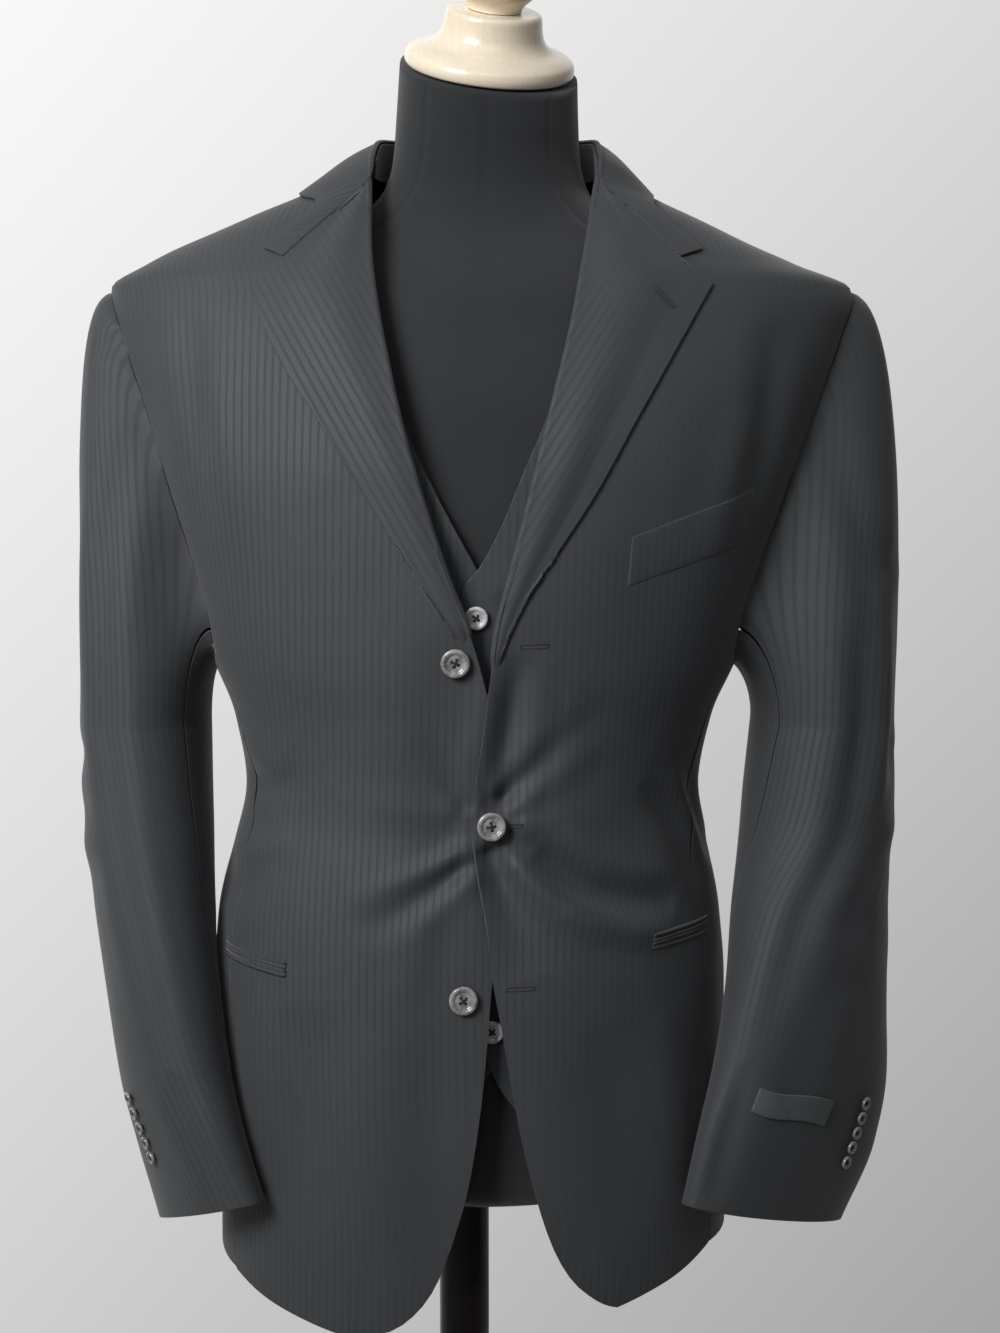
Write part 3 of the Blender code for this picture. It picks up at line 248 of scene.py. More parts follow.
RIGHT_WAISTCOAT_EDGE = table(   # underneath
    EDGE,
    (0.8450, -0.0250), (0.8560, -0.0100), (0.8692, 0.0020), (0.8870, 0.0150),
    (0.9214, 0.0290), (1.0600, 0.0200), (1.1948, 0.0120), (1.2134, 0.0085),
    (1.2262, 0.0010), (1.2789, -0.0285), (1.3216, -0.0490), (1.4000, -0.0680),
    (1.4500, -0.0780), (1.4860, -0.0830),
)
WAISTCOAT_ARMHOLE = table(  # half width left between the armholes
    EDGE,
    (1.1250, 0.1540), (1.1400, 0.1480), (1.1700, 0.1420), (1.2300, 0.1370),
    (1.3200, 0.1360), (1.3900, 0.1400), (1.4300, 0.1440), (1.4600, 0.1340),
)

# ---- armhole: walk runs once round the loop, 0 shoulder, 90 front, 270 back --
ARMHOLE = table(
    "walk z turn",
    (0, 1.4170, 90.0), (15, 1.4100, 80.0), (30, 1.3930, 74.0), (50, 1.3500, 71.0),
    (75, 1.2900, 69.5), (100, 1.2350, 69.5), (125, 1.1930, 68.0), (142, 1.1720, 70.0),
    (162, 1.1560, 79.0), (180, 1.1520, 90.0), (198, 1.1560, 101.0),
    (218, 1.1720, 110.0), (235, 1.1950, 112.0), (260, 1.2400, 111.0),
    (285, 1.2950, 109.5), (310, 1.3550, 108.0), (330, 1.3940, 105.0),
    (345, 1.4105, 99.0), (360, 1.4170, 90.0),
)
SEAM_FRONT = 142            # walk at which the front and the side panel meet
SEAM_BACK = 218             # walk at which the side panel and the back meet

# ---- sleeves: rings below the armhole, between a front and a rear end; a ring
# lies this much higher at its front end and lower at its rear end (rise) -----
RING = "z front_x front_y rear_x rear_y width rise"
LEFT_SLEEVE = table(
    RING,
    (1.115, 0.2450, -0.0800, 0.2540, 0.0640, 0.1010, 0.000),
    (1.050, 0.2320, -0.0860, 0.2620, 0.0520, 0.1080, 0.002),
    (0.985, 0.2020, -0.1000, 0.2800, 0.0200, 0.1020, 0.007),
    (0.925, 0.1860, -0.1120, 0.2920, 0.0040, 0.0880, 0.012),
    (0.870, 0.1720, -0.1220, 0.2990, -0.0080, 0.0740, 0.017),
    (0.830, 0.1610, -0.1280, 0.2930, -0.0200, 0.0620, 0.020),
    (0.780, 0.1500, -0.1330, 0.2700, -0.0360, 0.0500, 0.023),
)
RIGHT_SLEEVE = table(
    RING,
    (1.115, 0.2300, -0.0800, 0.2400, 0.0640, 0.0920, 0.000),
    (1.050, 0.2200, -0.0880, 0.2400, 0.0480, 0.0910, 0.002),
    (0.985, 0.2060, -0.0980, 0.2400, 0.0300, 0.0840, 0.007),
    (0.925, 0.1900, -0.1080, 0.2360, 0.0120, 0.0780, 0.012),
    (0.870, 0.1740, -0.1180, 0.2320, -0.0040, 0.0700, 0.017),
    (0.830, 0.1580, -0.1260, 0.2240, -0.0180, 0.0600, 0.020),
    (0.780, 0.1370, -0.1320, 0.2110, -0.0320, 0.0500, 0.023),
)
UNDER_SLEEVE = (134.0, 226.0)   # the under sleeve's share of the walk round the arm

# ---- collar leaf: inner line (crest of the neck, then the gorge) to outer edge
COLLAR_BACK = table(
    "inner_x inner_y inner_z edge_turn edge_z lift",
    (0.0000, 0.0830, 1.5330, 180.0, 1.4870, 0.009),
    (0.0220, 0.0810, 1.5325, 165.0, 1.4870, 0.009),
    (0.0420, 0.0740, 1.5310, 150.0, 1.4870, 0.009),
    (0.0680, 0.0470, 1.5270, 121.0, 1.4880, 0.009),
    (0.0790, 0.0080, 1.5200, 95.0, 1.4885, 0.008),
    (0.0810, -0.0220, 1.5040, 76.0, 1.4800, 0.006),
)
COLLAR_GORGE = table(
    "inner_z edge_x edge_z",
    (1.4885, 0.1140, 1.4715),
    (1.4770, 0.1160, 1.4660),
    (1.4620, 0.1270, 1.4545),
    (1.4445, 0.1382, 1.4442),
    (1.4305, 0.1458, 1.4362),
)


# ---- small tools ------------------------------------------------------------
class Curve:
    """A smooth value between the rows of a table, never beyond two neighbours."""

    def __init__(self, places, values):
        self.places, self.values = list(places), list(values)
        steps = [b - a for a, b in zip(self.places, self.places[1:])]
        rates = [(b - a) / s for a, b, s in zip(self.values, self.values[1:], steps)]
        self.slopes = [rates[0]]
        for i in range(1, len(rates)):
            if rates[i - 1] * rates[i] <= 0:
                self.slopes.append(0.0)
            else:
                before, after = 2 * steps[i] + steps[i - 1], steps[i] + 2 * steps[i - 1]
                self.slopes.append((before + after) / (before / rates[i - 1] + after / rates[i]))
        self.slopes.append(rates[-1])

    def __call__(self, place):
        place = min(max(place, self.places[0]), self.places[-1])
        i = 0
        while place > self.places[i + 1]:
            i += 1
        step = self.places[i + 1] - self.places[i]
        t = (place - self.places[i]) / step
        return (self.values[i] * (1 + 2 * t) * (1 - t) ** 2 + self.values[i + 1] * t * t * (3 - 2 * t)
                + step * t * (1 - t) * (self.slopes[i] * (1 - t) - self.slopes[i + 1] * t))


def column(table, place, value):
    return Curve([getattr(row, place) for row in table], [getattr(row, value) for row in table])


def mix(a, b, t):
    return a + (b - a) * t


def smooth(low, high, value):
    t = min(max((value - low) / (high - low), 0.0), 1.0)
    return t * t * (3 - 2 * t)


def spread(low, high, count):
    return [mix(low, high, i / (count - 1)) for i in range(count)]


class Skin:
    """A body of level superellipse sections, read by height and turn."""

    def __init__(self, table):
        self.half, self.front, self.back, self.mid = (
            column(table, "z", name) for name in ("half", "front", "back", "mid"))

    def at(self, z, turn):
        s, c = math.sin(math.radians(turn)), math.cos(math.radians(turn))
        x = self.half(z) * math.copysign(abs(s) ** (2 / SQUARE), s)
        depth = self.front(z) if c > 0 else self.back(z)
        y = -depth * math.copysign(abs(c) ** (2 / SQUARE), c)
        return Vector((x + self.mid(z), y, z))

    def normal(self, z, turn, dz=0.002, dturn=1.0):
        up = self.at(z + dz, turn) - self.at(z - dz, turn)
        round_ = self.at(z, turn + dturn) - self.at(z, turn - dturn)
        return round_.cross(up).normalized()

    def out(self, z, turn, distance):
        return self.at(z, turn) + self.normal(z, turn) * distance

    def turn_of(self, z, x):
        x -= self.mid(z)
        share = min(abs(x) / self.half(z), 1.0) ** (SQUARE / 2)
        return math.copysign(math.degrees(math.asin(share)), x)

    def clear(self, point, distance):
        """Push a point out until it is this far from the body's level section."""
        z = point.z
        x = point.x - self.mid(z)
        depth = (self.front(z) if point.y < 0 else self.back(z)) + distance
        across = abs(x) / (self.half(z) + distance)
        along = abs(point.y) / depth
        reach = (across ** SQUARE + along ** SQUARE) ** (1 / SQUARE)
        if reach < 1.0:
            return Vector((x / reach + self.mid(z), point.y / reach, z))
        return point


jacket, waistcoat, form = Skin(JACKET), Skin(WAISTCOAT), Skin(FORM)


def lean(point):
    return Vector((point.x + LEAN * (point.z - LEAN_FROM), point.y, point.z))


# ---- jacket body ------------------------------------------------------------
hole_z, hole_turn = column(ARMHOLE, "walk", "z"), column(ARMHOLE, "walk", "turn")


def hole_by_height(walks):
    """The armhole's turn read by height, along walks that run upwards."""
    return Curve([hole_z(walk) for walk in walks], [hole_turn(walk) for walk in walks])


hole_front = hole_by_height(range(SEAM_FRONT, -1, -2))
hole_back = hole_by_height(range(SEAM_BACK, 361, 2))
SHOULDER_TIP = hole_z(0)
SHOULDER_SEAM = 90.0        # turn of the shoulder seam and of the waistcoat's side seam
SIDE_SEAMS = (62.0, 118.0)  # turns of the side panel's two seams at the hem
SEAMS_DRAW_IN = 1.00        # above this height they run to the armhole


def turn_gap(z, distance):
    """The turn that moves a point this far round the body at its side."""
    return math.degrees(distance / jacket.half(z))


def panel_limit(z, way, seam, hole, side_seam):
    """Turn of a panel's outer edge: side seam, armhole or shoulder seam; way is -1 in front, +1 behind."""
    if z >= SHOULDER_TIP:
        return SHOULDER_SEAM + way * turn_gap(z, SEAM)
    if z >= hole_z(seam):
        return hole(z) + way * turn_gap(z, SEAM / 2)
    drawn_in = smooth(SEAMS_DRAW_IN, hole_z(seam), z)
    return mix(side_seam, hole_turn(seam), drawn_in) + way * turn_gap(z, SEAM / 2)


def front_limit(z):
    return panel_limit(z, -1, SEAM_FRONT, hole_front, SIDE_SEAMS[0])


def back_limit(z):
    return panel_limit(z, +1, SEAM_BACK, hole_back, SIDE_SEAMS[1])


# the wearer's right front passes under the left one between these places
UNDER_DEPTH = CLOTH + 4 * LAY
UNDER_X = (-0.050, -0.012)
UNDER_Z = (1.150, 1.195)


def front_out(side, x, z):
    """How far a front stands off the jacket's skin."""
    if side > 0:
        return 0.0
    return -UNDER_DEPTH * smooth(*UNDER_X, x) * (1.0 - smooth(*UNDER_Z, z))


# ---- creases ------------------------------------------------------------------
# A crease runs through three points; on the body a point is (distance round the
# skin from the front centre, height), on a sleeve (walk, height).  A negative
# depth is a trough, a positive one a ridge; width is half of what it spans.
CREASE = "start middle end width depth"
BUTTON_FOLDS = table(       # they spread from the fastened button, sharp at it and soft away from it
    CREASE,
    ((0.018, 1.072), (0.042, 1.097), (0.088, 1.138), 0.0068, -0.0056),
    ((0.012, 1.080), (0.030, 1.116), (0.056, 1.168), 0.0110, 0.0018),
    ((0.030, 1.062), (0.075, 1.066), (0.135, 1.078), 0.0120, 0.0022),
    ((0.022, 1.057), (0.044, 1.040), (0.082, 1.022), 0.0078, -0.0080),
    ((0.026, 1.038), (0.056, 1.014), (0.100, 0.990), 0.0100, 0.0030),
    ((0.004, 1.049), (-0.031, 1.027), (-0.080, 1.003), 0.0068, 0.0034),
    ((0.002, 1.039), (-0.030, 1.014), (-0.078, 0.990), 0.0076, -0.0052),
    ((-0.004, 1.059), (-0.048, 1.052), (-0.120, 1.040), 0.0110, -0.0014),
    ((0.000, 1.068), (-0.012, 1.087), (-0.036, 1.118), 0.0062, -0.0044),
    ((-0.008, 1.066), (-0.060, 1.070), (-0.140, 1.082), 0.0120, 0.0014),
    ((0.012, 1.050), (0.026, 1.015), (0.044, 0.962), 0.0125, -0.0100),
)
BODY_CREASES = table(
    CREASE,
    ((0.044, 1.042), (0.084, 1.016), (0.150, 0.998), 0.0100, -0.0098),
    ((0.060, 1.006), (0.095, 0.992), (0.150, 0.984), 0.0100, 0.0026),
    ((0.030, 1.172), (0.0240, 1.120), (0.0170, 1.062), 0.0095, -0.0074),
    ((0.046, 1.166), (0.0410, 1.120), (0.0330, 1.082), 0.0130, -0.0030),
    ((-0.010, 1.030), (-0.028, 0.992), (-0.040, 0.940), 0.0110, 0.0014),
    # the waist, both sides, and what gathers above the hips
    ((0.120, 1.082), (0.150, 1.050), (0.182, 1.010), 0.0100, -0.0030),
    ((0.148, 1.092), (0.172, 1.060), (0.205, 1.030), 0.0090, 0.0024),
    ((0.175, 1.076), (0.200, 1.040), (0.238, 1.018), 0.0090, -0.0026),
    ((-0.118, 1.090), (-0.155, 1.078), (-0.205, 1.088), 0.0100, -0.0024),
    ((-0.125, 1.052), (-0.165, 1.034), (-0.215, 1.038), 0.0090, 0.0022),
    ((-0.150, 1.018), (-0.185, 1.004), (-0.225, 1.012), 0.0100, -0.0020),
    # chest: soft vertical folds in front of the armholes
    ((-0.194, 1.396), (-0.196, 1.346), (-0.192, 1.290), 0.0120, -0.0034),
    ((-0.172, 1.352), (-0.174, 1.300), (-0.166, 1.236), 0.0140, 0.0022),
    ((0.196, 1.388), (0.199, 1.335), (0.192, 1.268), 0.0120, -0.0030),
    ((0.174, 1.330), (0.171, 1.282), (0.160, 1.226), 0.0130, 0.0016),
    # skirts: long weak flutes
    ((-0.108, 0.935), (-0.112, 0.860), (-0.118, 0.775), 0.0200, -0.0024),
    ((-0.062, 0.925), (-0.066, 0.850), (-0.070, 0.765), 0.0220, 0.0022),
    ((-0.148, 0.945), (-0.155, 0.870), (-0.160, 0.790), 0.0180, 0.0022),
    ((0.092, 0.925), (0.098, 0.850), (0.102, 0.775), 0.0220, -0.0022),
    ((0.140, 0.935), (0.148, 0.860), (0.152, 0.785), 0.0200, 0.0024),
    # back: under the shoulder blades, the small of the back, the seat
    ((0.300, 1.185), (0.345, 1.150), (0.405, 1.128), 0.0120, -0.0028),
    ((-0.292, 1.178), (-0.338, 1.146), (-0.392, 1.132), 0.0120, -0.0026),
    ((0.275, 1.105), (0.325, 1.078), (0.392, 1.070), 0.0110, 0.0024),
    ((-0.270, 1.098), (-0.318, 1.066), (-0.380, 1.060), 0.0110, 0.0026),
    ((0.262, 1.045), (0.322, 1.030), (0.398, 1.036), 0.0100, -0.0028),
    ((-0.255, 1.036), (-0.312, 1.018), (-0.372, 1.024), 0.0100, -0.0024),
    ((0.285, 1.330), (0.315, 1.290), (0.330, 1.225), 0.0160, -0.0026),
    ((-0.285, 1.324), (-0.312, 1.280), (-0.322, 1.220), 0.0160, -0.0028),
    ((0.330, 0.950), (0.338, 0.870), (0.346, 0.780), 0.0220, 0.0024),
    ((-0.318, 0.942), (-0.326, 0.865), (-0.330, 0.775), 0.0220, 0.0022),
    ((0.390, 0.960), (0.394, 0.880), (0.400, 0.790), 0.0200, -0.0022),
    ((-0.376, 0.955), (-0.382, 0.872), (-0.388, 0.782), 0.0200, -0.0020),
)
LEFT_SLEEVE_CREASES = table(
    CREASE,
    ((66.0, 1.330), (60.0, 1.250), (58.0, 1.150), 0.0110, -0.0030),
    ((48.0, 1.250), (38.0, 1.225), (24.0, 1.238), 0.0090, -0.0028),
    ((52.0, 1.215), (44.0, 1.140), (46.0, 1.050), 0.0120, 0.0034),
    ((68.0, 1.190), (64.0, 1.060), (62.0, 0.900), 0.0110, -0.0034),
    ((30.0, 1.120), (20.0, 1.090), (2.0, 1.080), 0.0110, -0.0024),
    ((34.0, 1.060), (18.0, 1.040), (-6.0, 1.045), 0.0120, 0.0022),
    ((36.0, 1.010), (22.0, 0.985), (4.0, 0.978), 0.0110, -0.0022),
    ((-40.0, 1.100), (-58.0, 1.070), (-80.0, 1.066), 0.0120, -0.0028),
    ((-36.0, 1.045), (-56.0, 1.020), (-82.0, 1.012), 0.0120, 0.0026),
    ((-34.0, 1.000), (-54.0, 0.972), (-78.0, 0.962), 0.0110, -0.0024),
    ((70.0, 0.900), (64.0, 0.850), (60.0, 0.800), 0.0100, -0.0024),
    ((20.0, 0.940), (14.0, 0.900), (12.0, 0.850), 0.0130, 0.0018),
    ((-70.0, 1.330), (-74.0, 1.260), (-70.0, 1.180), 0.0130, -0.0024),
)
RIGHT_SLEEVE_CREASES = table(
    CREASE,
    ((46.0, 1.392), (38.0, 1.378), (26.0, 1.376), 0.0085, -0.0026),
    ((62.0, 1.320), (58.0, 1.240), (60.0, 1.150), 0.0110, -0.0028),
    ((42.0, 1.290), (38.0, 1.200), (42.0, 1.090), 0.0130, 0.0028),
    ((66.0, 1.170), (64.0, 1.040), (60.0, 0.890), 0.0110, -0.0034),
    ((28.0, 1.110), (12.0, 1.092), (-8.0, 1.098), 0.0110, -0.0022),
    ((34.0, 1.050), (16.0, 1.030), (-6.0, 1.026), 0.0120, 0.0020),
    ((-38.0, 1.090), (-60.0, 1.062), (-84.0, 1.058), 0.0120, -0.0026),
    ((-34.0, 1.030), (-56.0, 1.006), (-80.0, 1.002), 0.0120, 0.0024),
    ((58.0, 0.890), (54.0, 0.845), (56.0, 0.800), 0.0100, -0.0022),
    ((-68.0, 1.320), (-72.0, 1.250), (-68.0, 1.170), 0.0130, -0.0024),
)
SLEEVE_RADIUS = 0.056       # turns a sleeve's walk into a distance for its creases
BEND_STEPS = 8
LIP = 0.30                  # a trough pushes up a lip of this share on either side
LIP_AWAY = 1.9              # this many widths off
REACH = 3.2                 # past this many widths a crease does nothing
FAN_WIDTH = (0.60, 1.60)    # share of its width at the start and end of a crease that fans
FAN_START = 0.10            # share of its length in which it reaches its depth
FAN_FADE, EVEN_FADE = 0.75, 0.7         # powers by which a crease that fans, or an even one, fades out
RIPPLE_SCALE = (22.0, 14.0)             # waves of the cloth's unevenness to a metre, across and up
RIPPLE_LAYER = 3.1


class Creases:
    """Height of a set of creases, with a slight unevenness, at any place.

    Creases that fan start sharp and deep and end wide and weak."""

    def __init__(self, table, scale=1.0, ripple=0.0005, fan=False):
        self.scale, self.ripple, self.fan, self.lines = scale, ripple, fan, []
        for row in table:
            points = []
            for i in range(BEND_STEPS + 1):
                t = i / BEND_STEPS
                a, b, c = (1 - t) * (1 - 2 * t), 4 * t * (1 - t), t * (2 * t - 1)
                points.append((scale * (a * row.start[0] + b * row.middle[0] + c * row.end[0]),
                               a * row.start[1] + b * row.middle[1] + c * row.end[1]))
            reach = REACH * row.width * (FAN_WIDTH[1] if fan else 1.0)
            low = [min(p[k] for p in points) - reach for k in (0, 1)]
            high = [max(p[k] for p in points) + reach for k in (0, 1)]
            self.lines.append((points, row.width, row.depth, low, high))

    def __call__(self, place, z):
        u = place * self.scale
        height = self.ripple * noise.noise(Vector((u * RIPPLE_SCALE[0], z * RIPPLE_SCALE[1], RIPPLE_LAYER)))
        for points, width, depth, low, high in self.lines:
            if not (low[0] < u < high[0] and low[1] < z < high[1]):
                continue
            near, along = REACH * width * (FAN_WIDTH[1] if self.fan else 1.0), 0.0
            for i in range(BEND_STEPS):
                (ax, az), (bx, bz) = points[i], points[i + 1]
                dx, dz = bx - ax, bz - az
                t = ((u - ax) * dx + (z - az) * dz) / (dx * dx + dz * dz)
                t = min(max(t, 0.0), 1.0)
                away = math.hypot(u - ax - dx * t, z - az - dz * t)
                if away < near:
                    near, along = away, (i + t) / BEND_STEPS
            along = min(max(along, 0.0), 1.0)
            if self.fan:
                width *= mix(*FAN_WIDTH, along)
                fade = smooth(0.0, FAN_START, along) * (1.0 - along) ** FAN_FADE
            else:
                fade = math.sin(math.pi * along) ** EVEN_FADE
            middle = math.exp(-(near / width) ** 2)
            lip = math.exp(-((near - LIP_AWAY * width) / width) ** 2)
            height += depth * fade * (middle - LIP * lip)
        return height


class Lay:
    """Distance round a skin from the front centre, read by height and turn."""
    STEP_Z, STEP_TURN = 0.01, 3

    def __init__(self, skin, low, high):
        self.low, self.rows = low, []
        for i in range(int((high - low) / self.STEP_Z) + 2):
            z, total, row = low + i * self.STEP_Z, 0.0, [0.0]
            before = skin.at(z, 0.0)
            for turn in range(self.STEP_TURN, 181, self.STEP_TURN):
                here = skin.at(z, float(turn))
                total += (here - before).length
                row.append(total)
                before = here
            self.rows.append(row)

    def __call__(self, z, turn):
        side, turn = math.copysign(1.0, turn), min(abs(turn), 179.999)
        i = min(max((z - self.low) / self.STEP_Z, 0.0), len(self.rows) - 1.001)
        j = turn / self.STEP_TURN
        a, b = int(i), int(j)
        low = mix(self.rows[a][b], self.rows[a][b + 1], j - b)
        high = mix(self.rows[a + 1][b], self.rows[a + 1][b + 1], j - b)
        return side * mix(low, high, i - a)


body_creases, button_folds = Creases(BODY_CREASES), Creases(BUTTON_FOLDS, fan=True)
jacket_lay, waistcoat_lay = Lay(jacket, 0.70, 1.53), Lay(waistcoat, 0.82, 1.52)
form_lay = Lay(form, 0.79, 1.57)


def signed(turn):
    return turn - 360.0 if turn > 180.0 else turn


def jacket_at(z, turn, distance=0.0):
    """A point on the creased jacket."""
    turn = signed(turn)
    place = jacket_lay(z, turn)
    return jacket.out(z, turn, distance + body_creases(place, z) + button_folds(place, z))


# ---- materials ----------------------------------------------------------------
class Nodes:
    """A node tree with short names for what it is built of."""

    def __init__(self, tree):
        self.tree = tree

    def node(self, kind, inputs=(), **settings):
        made = self.tree.nodes.new(kind)
        for key, value in settings.items():
            setattr(made, key, value)
        for place, value in dict(inputs).items():
            self.set(made.inputs[place], value)
        return made

    def set(self, socket, value):
        if isinstance(value, bpy.types.NodeSocket):
            self.tree.links.new(value, socket)
        else:
            socket.default_value = value

    def math(self, operation, a, b=0.0, c=0.0):
        return self.node("ShaderNodeMath", {0: a, 1: b, 2: c}, operation=operation).outputs[0]

    def times(self, a, b):
        return self.math("MULTIPLY", a, b)

    def plus(self, a, b):
        return self.math("ADD", a, b)

    def line(self, value, rise, start):
        """start, and rise for each unit of the value."""
        return self.math("MULTIPLY_ADD", value, rise, start)

    def between(self, value, low, high, to_low=0.0, to_high=1.0):
        made = self.node("ShaderNodeMapRange", {0: value, 1: low, 2: high, 3: to_low, 4: to_high},
                         interpolation_type="SMOOTHSTEP")
        return made.outputs[0]


class Graph(Nodes):
    """A Principled material whose colour, roughness and bump come from nodes."""

    def __init__(self, name, **constants):
        self.material = bpy.data.materials.new(name)
        self.material.use_nodes = True
        super().__init__(self.material.node_tree)
        self.shader = self.tree.nodes["Principled BSDF"]
        for key, value in constants.items():
            self.shader.inputs[key.replace("_", " ")].default_value = value

    def mix(self, share, a, b):
        made = self.node("ShaderNodeMix", data_type="RGBA")
        self.set(made.inputs["Factor"], share)
        for place, colour in (("A", a), ("B", b)):
            socket = [s for s in made.inputs if s.name == place and s.type == "RGBA"][0]
            self.set(socket, (*colour, 1.0) if isinstance(colour, tuple) else colour)
        return [s for s in made.outputs if s.type == "RGBA"][0]

    def noise(self, scale, detail=3.0, coordinates=None, rough=0.5):
        made = self.node("ShaderNodeTexNoise", {"Scale": scale, "Detail": detail, "Roughness": rough})
        if coordinates is not None:
            self.set(made.inputs["Vector"], coordinates)
        return made.outputs["Fac"]

    def place(self):
        return self.node("ShaderNodeTexCoord").outputs["Object"]

    def grain(self):
        """Distance across and along the cloth's grain, in metres."""
        uv = self.node("ShaderNodeUVMap", uv_map="grain").outputs["UV"]
        split = self.node("ShaderNodeSeparateXYZ", {0: uv})
        return split.outputs["X"], split.outputs["Y"]

    def wave(self, value, period):
        """0 to 1 and back, once in each period."""
        return self.math("PINGPONG", self.math("DIVIDE", value, period / 2), 1.0)

    def woven(self, periods):
        """Loops or ribs both ways of the grain."""
        across, along = (self.wave(way, period) for way, period in zip(self.grain(), periods))
        return self.times(across, along)

    def finish(self, colour, roughness, height=None, depth=0.0, strength=1.0):
        self.set(self.shader.inputs["Base Color"], colour)
        self.set(self.shader.inputs["Roughness"], roughness)
        if height is not None:
            bump = self.node("ShaderNodeBump", {"Strength": strength, "Distance": depth, "Height": height})
            self.set(self.shader.inputs["Normal"], bump.outputs["Normal"])
        return self.material


STRIPE = 0.0054             # from one shadow stripe to the next
STRIPE_SHARE = 0.36         # of it that is the darker stripe
STRIPE_SOFT = 0.10          # share over which it fades at either side
STRIPE_WANDER = 0.0007      # it strays this far from a straight line
TWILL = 0.0011              # from one rib of the twill to the next
TWILL_CLIMB = 0.8           # across for each metre along
WOOL_LIGHT = (0.0465, 0.0506, 0.0560)
WOOL_MIDDLE = (0.0395, 0.0430, 0.0477)
WOOL_STRIPE = (0.0300, 0.0326, 0.0366)


def wool():
    g = Graph("charcoal_wool", Sheen_Weight=0.18, Sheen_Roughness=0.45, Specular_IOR_Level=0.30)
    across, along = g.grain()
    where = g.place()
    wander = g.line(g.noise(90.0, 2.0, where), STRIPE_WANDER, across)
    wave = g.wave(wander, STRIPE)
    stripe = g.between(wave, STRIPE_SHARE + STRIPE_SOFT, STRIPE_SHARE - STRIPE_SOFT)
    thin = g.between(g.wave(g.plus(wander, STRIPE / 4), STRIPE), 0.10, 0.02)
    climb = g.times(along, TWILL_CLIMB)
    twill = g.wave(g.plus(across, climb), TWILL)
    counter = g.wave(g.math("SUBTRACT", across, climb), TWILL)
    weave = g.plus(g.times(twill, g.math("SUBTRACT", 1.0, stripe)), g.times(counter, stripe))
    cloudy = g.between(g.noise(9.0, 3.0, where), 0.30, 0.70)
    slub = g.noise(900.0, 2.0, where)
    ground = g.mix(g.line(cloudy, 0.5, g.times(slub, 0.5)), WOOL_MIDDLE, WOOL_LIGHT)
    # painted sheen: broad random patches where the dark stripes show more strongly, standing in for how
    # glancing light brings out the tone-on-tone stripes
    painted_sheen_patches = g.times(g.between(g.noise(5.0, 2.0, where), 0.38, 0.62, 0.10, 0.68),
                   g.between(g.noise(60.0, 3.0, where), 0.25, 0.60, 0.55, 1.0))
    striped = g.mix(g.times(stripe, painted_sheen_patches), ground, WOOL_STRIPE)
    colour = g.mix(g.times(thin, 0.15), striped, WOOL_LIGHT)
    roughness = g.line(stripe, 0.10, 0.62)
    height = g.plus(g.times(weave, 0.5), g.times(stripe, -0.18))
    return g.finish(colour, roughness, height, depth=0.00014, strength=0.55)


# darker and lighter colour of each clouded finish
LINING_RED = (0.120, 0.016, 0.026), (0.190, 0.030, 0.044)
JERSEY_BLACK = (0.0130, 0.0140, 0.0160), (0.0290, 0.0310, 0.0345)
RIBBON_TEAL = (0.052, 0.068, 0.074), (0.084, 0.104, 0.110)
MAPLE_CREAM = (0.890, 0.750, 0.560), (0.920, 0.820, 0.680)
ENAMEL_BROWN = (0.0085, 0.0048, 0.0042), (0.0170, 0.0110, 0.0098)
SMOKE_PEARL = (0.080, 0.080, 0.082), (0.330, 0.330, 0.330)
SILVER_PEARL = (0.240, 0.245, 0.255), (0.640, 0.650, 0.670)
THREAD_DARK, THREAD_GREY = (0.020, 0.020, 0.023), (0.026, 0.027, 0.030)
# rib or loop of each weave: across the grain, along it
LINING_RIB, JERSEY_LOOP, RIBBON_RIB = 0.0006, (0.0011, 0.0009), (0.0005, 0.0008)


def satin():
    g = Graph("burgundy_lining", Sheen_Weight=0.1, Specular_IOR_Level=0.6)
    _, along = g.grain()
    ribs = g.wave(along, LINING_RIB)
    soft = g.noise(40.0, 3.0, g.place())
    colour = g.mix(soft, *LINING_RED)
    return g.finish(colour, g.line(soft, 0.15, 0.30), ribs, depth=0.00006, strength=0.4)


def jersey_knit():
    g = Graph("black_jersey", Sheen_Weight=0.30, Sheen_Roughness=0.5, Specular_IOR_Level=0.2)
    loops = g.woven(JERSEY_LOOP)
    soft = g.noise(14.0, 3.0, g.place())
    fluff = g.noise(1200.0, 2.0, g.place())
    tone = g.line(soft, 0.6, g.times(fluff, 0.4))
    colour = g.mix(tone, *JERSEY_BLACK)
    return g.finish(colour, g.line(fluff, 0.1, 0.80), loops, depth=0.00016, strength=0.6)


def woven_ribbon():
    g = Graph("grey_teal_ribbon", Sheen_Weight=0.15, Specular_IOR_Level=0.4)
    ribs = g.woven(RIBBON_RIB)
    tone = g.noise(160.0, 3.0, g.place())
    colour = g.mix(tone, *RIBBON_TEAL)
    return g.finish(colour, g.line(tone, 0.1, 0.50), ribs, depth=0.00010, strength=0.6)


def thread(name, colour):
    g = Graph(name, Sheen_Weight=0.2, Specular_IOR_Level=0.3)
    twist = g.noise(2500.0, 2.0, g.place())
    dark = tuple(0.6 * part for part in colour)
    return g.finish(g.mix(twist, dark, colour), 0.75, twist, depth=0.0001, strength=0.6)


def pearl(name, low, high, roughness=0.16):
    """A pearly resin with cloudy layers under a polish."""
    g = Graph(name, Coat_Weight=0.7, Coat_Roughness=0.08, Specular_IOR_Level=0.6)
    where = g.place()
    cloud, fleck = g.noise(170.0, 4.0, where, 0.6), g.noise(700.0, 2.0, where)
    tone = g.between(g.line(cloud, 0.9, g.times(fleck, 0.1)), 0.25, 0.75)
    return g.finish(g.mix(tone, low, high), g.line(cloud, 0.10, roughness), cloud,
                    depth=0.00004, strength=0.3)


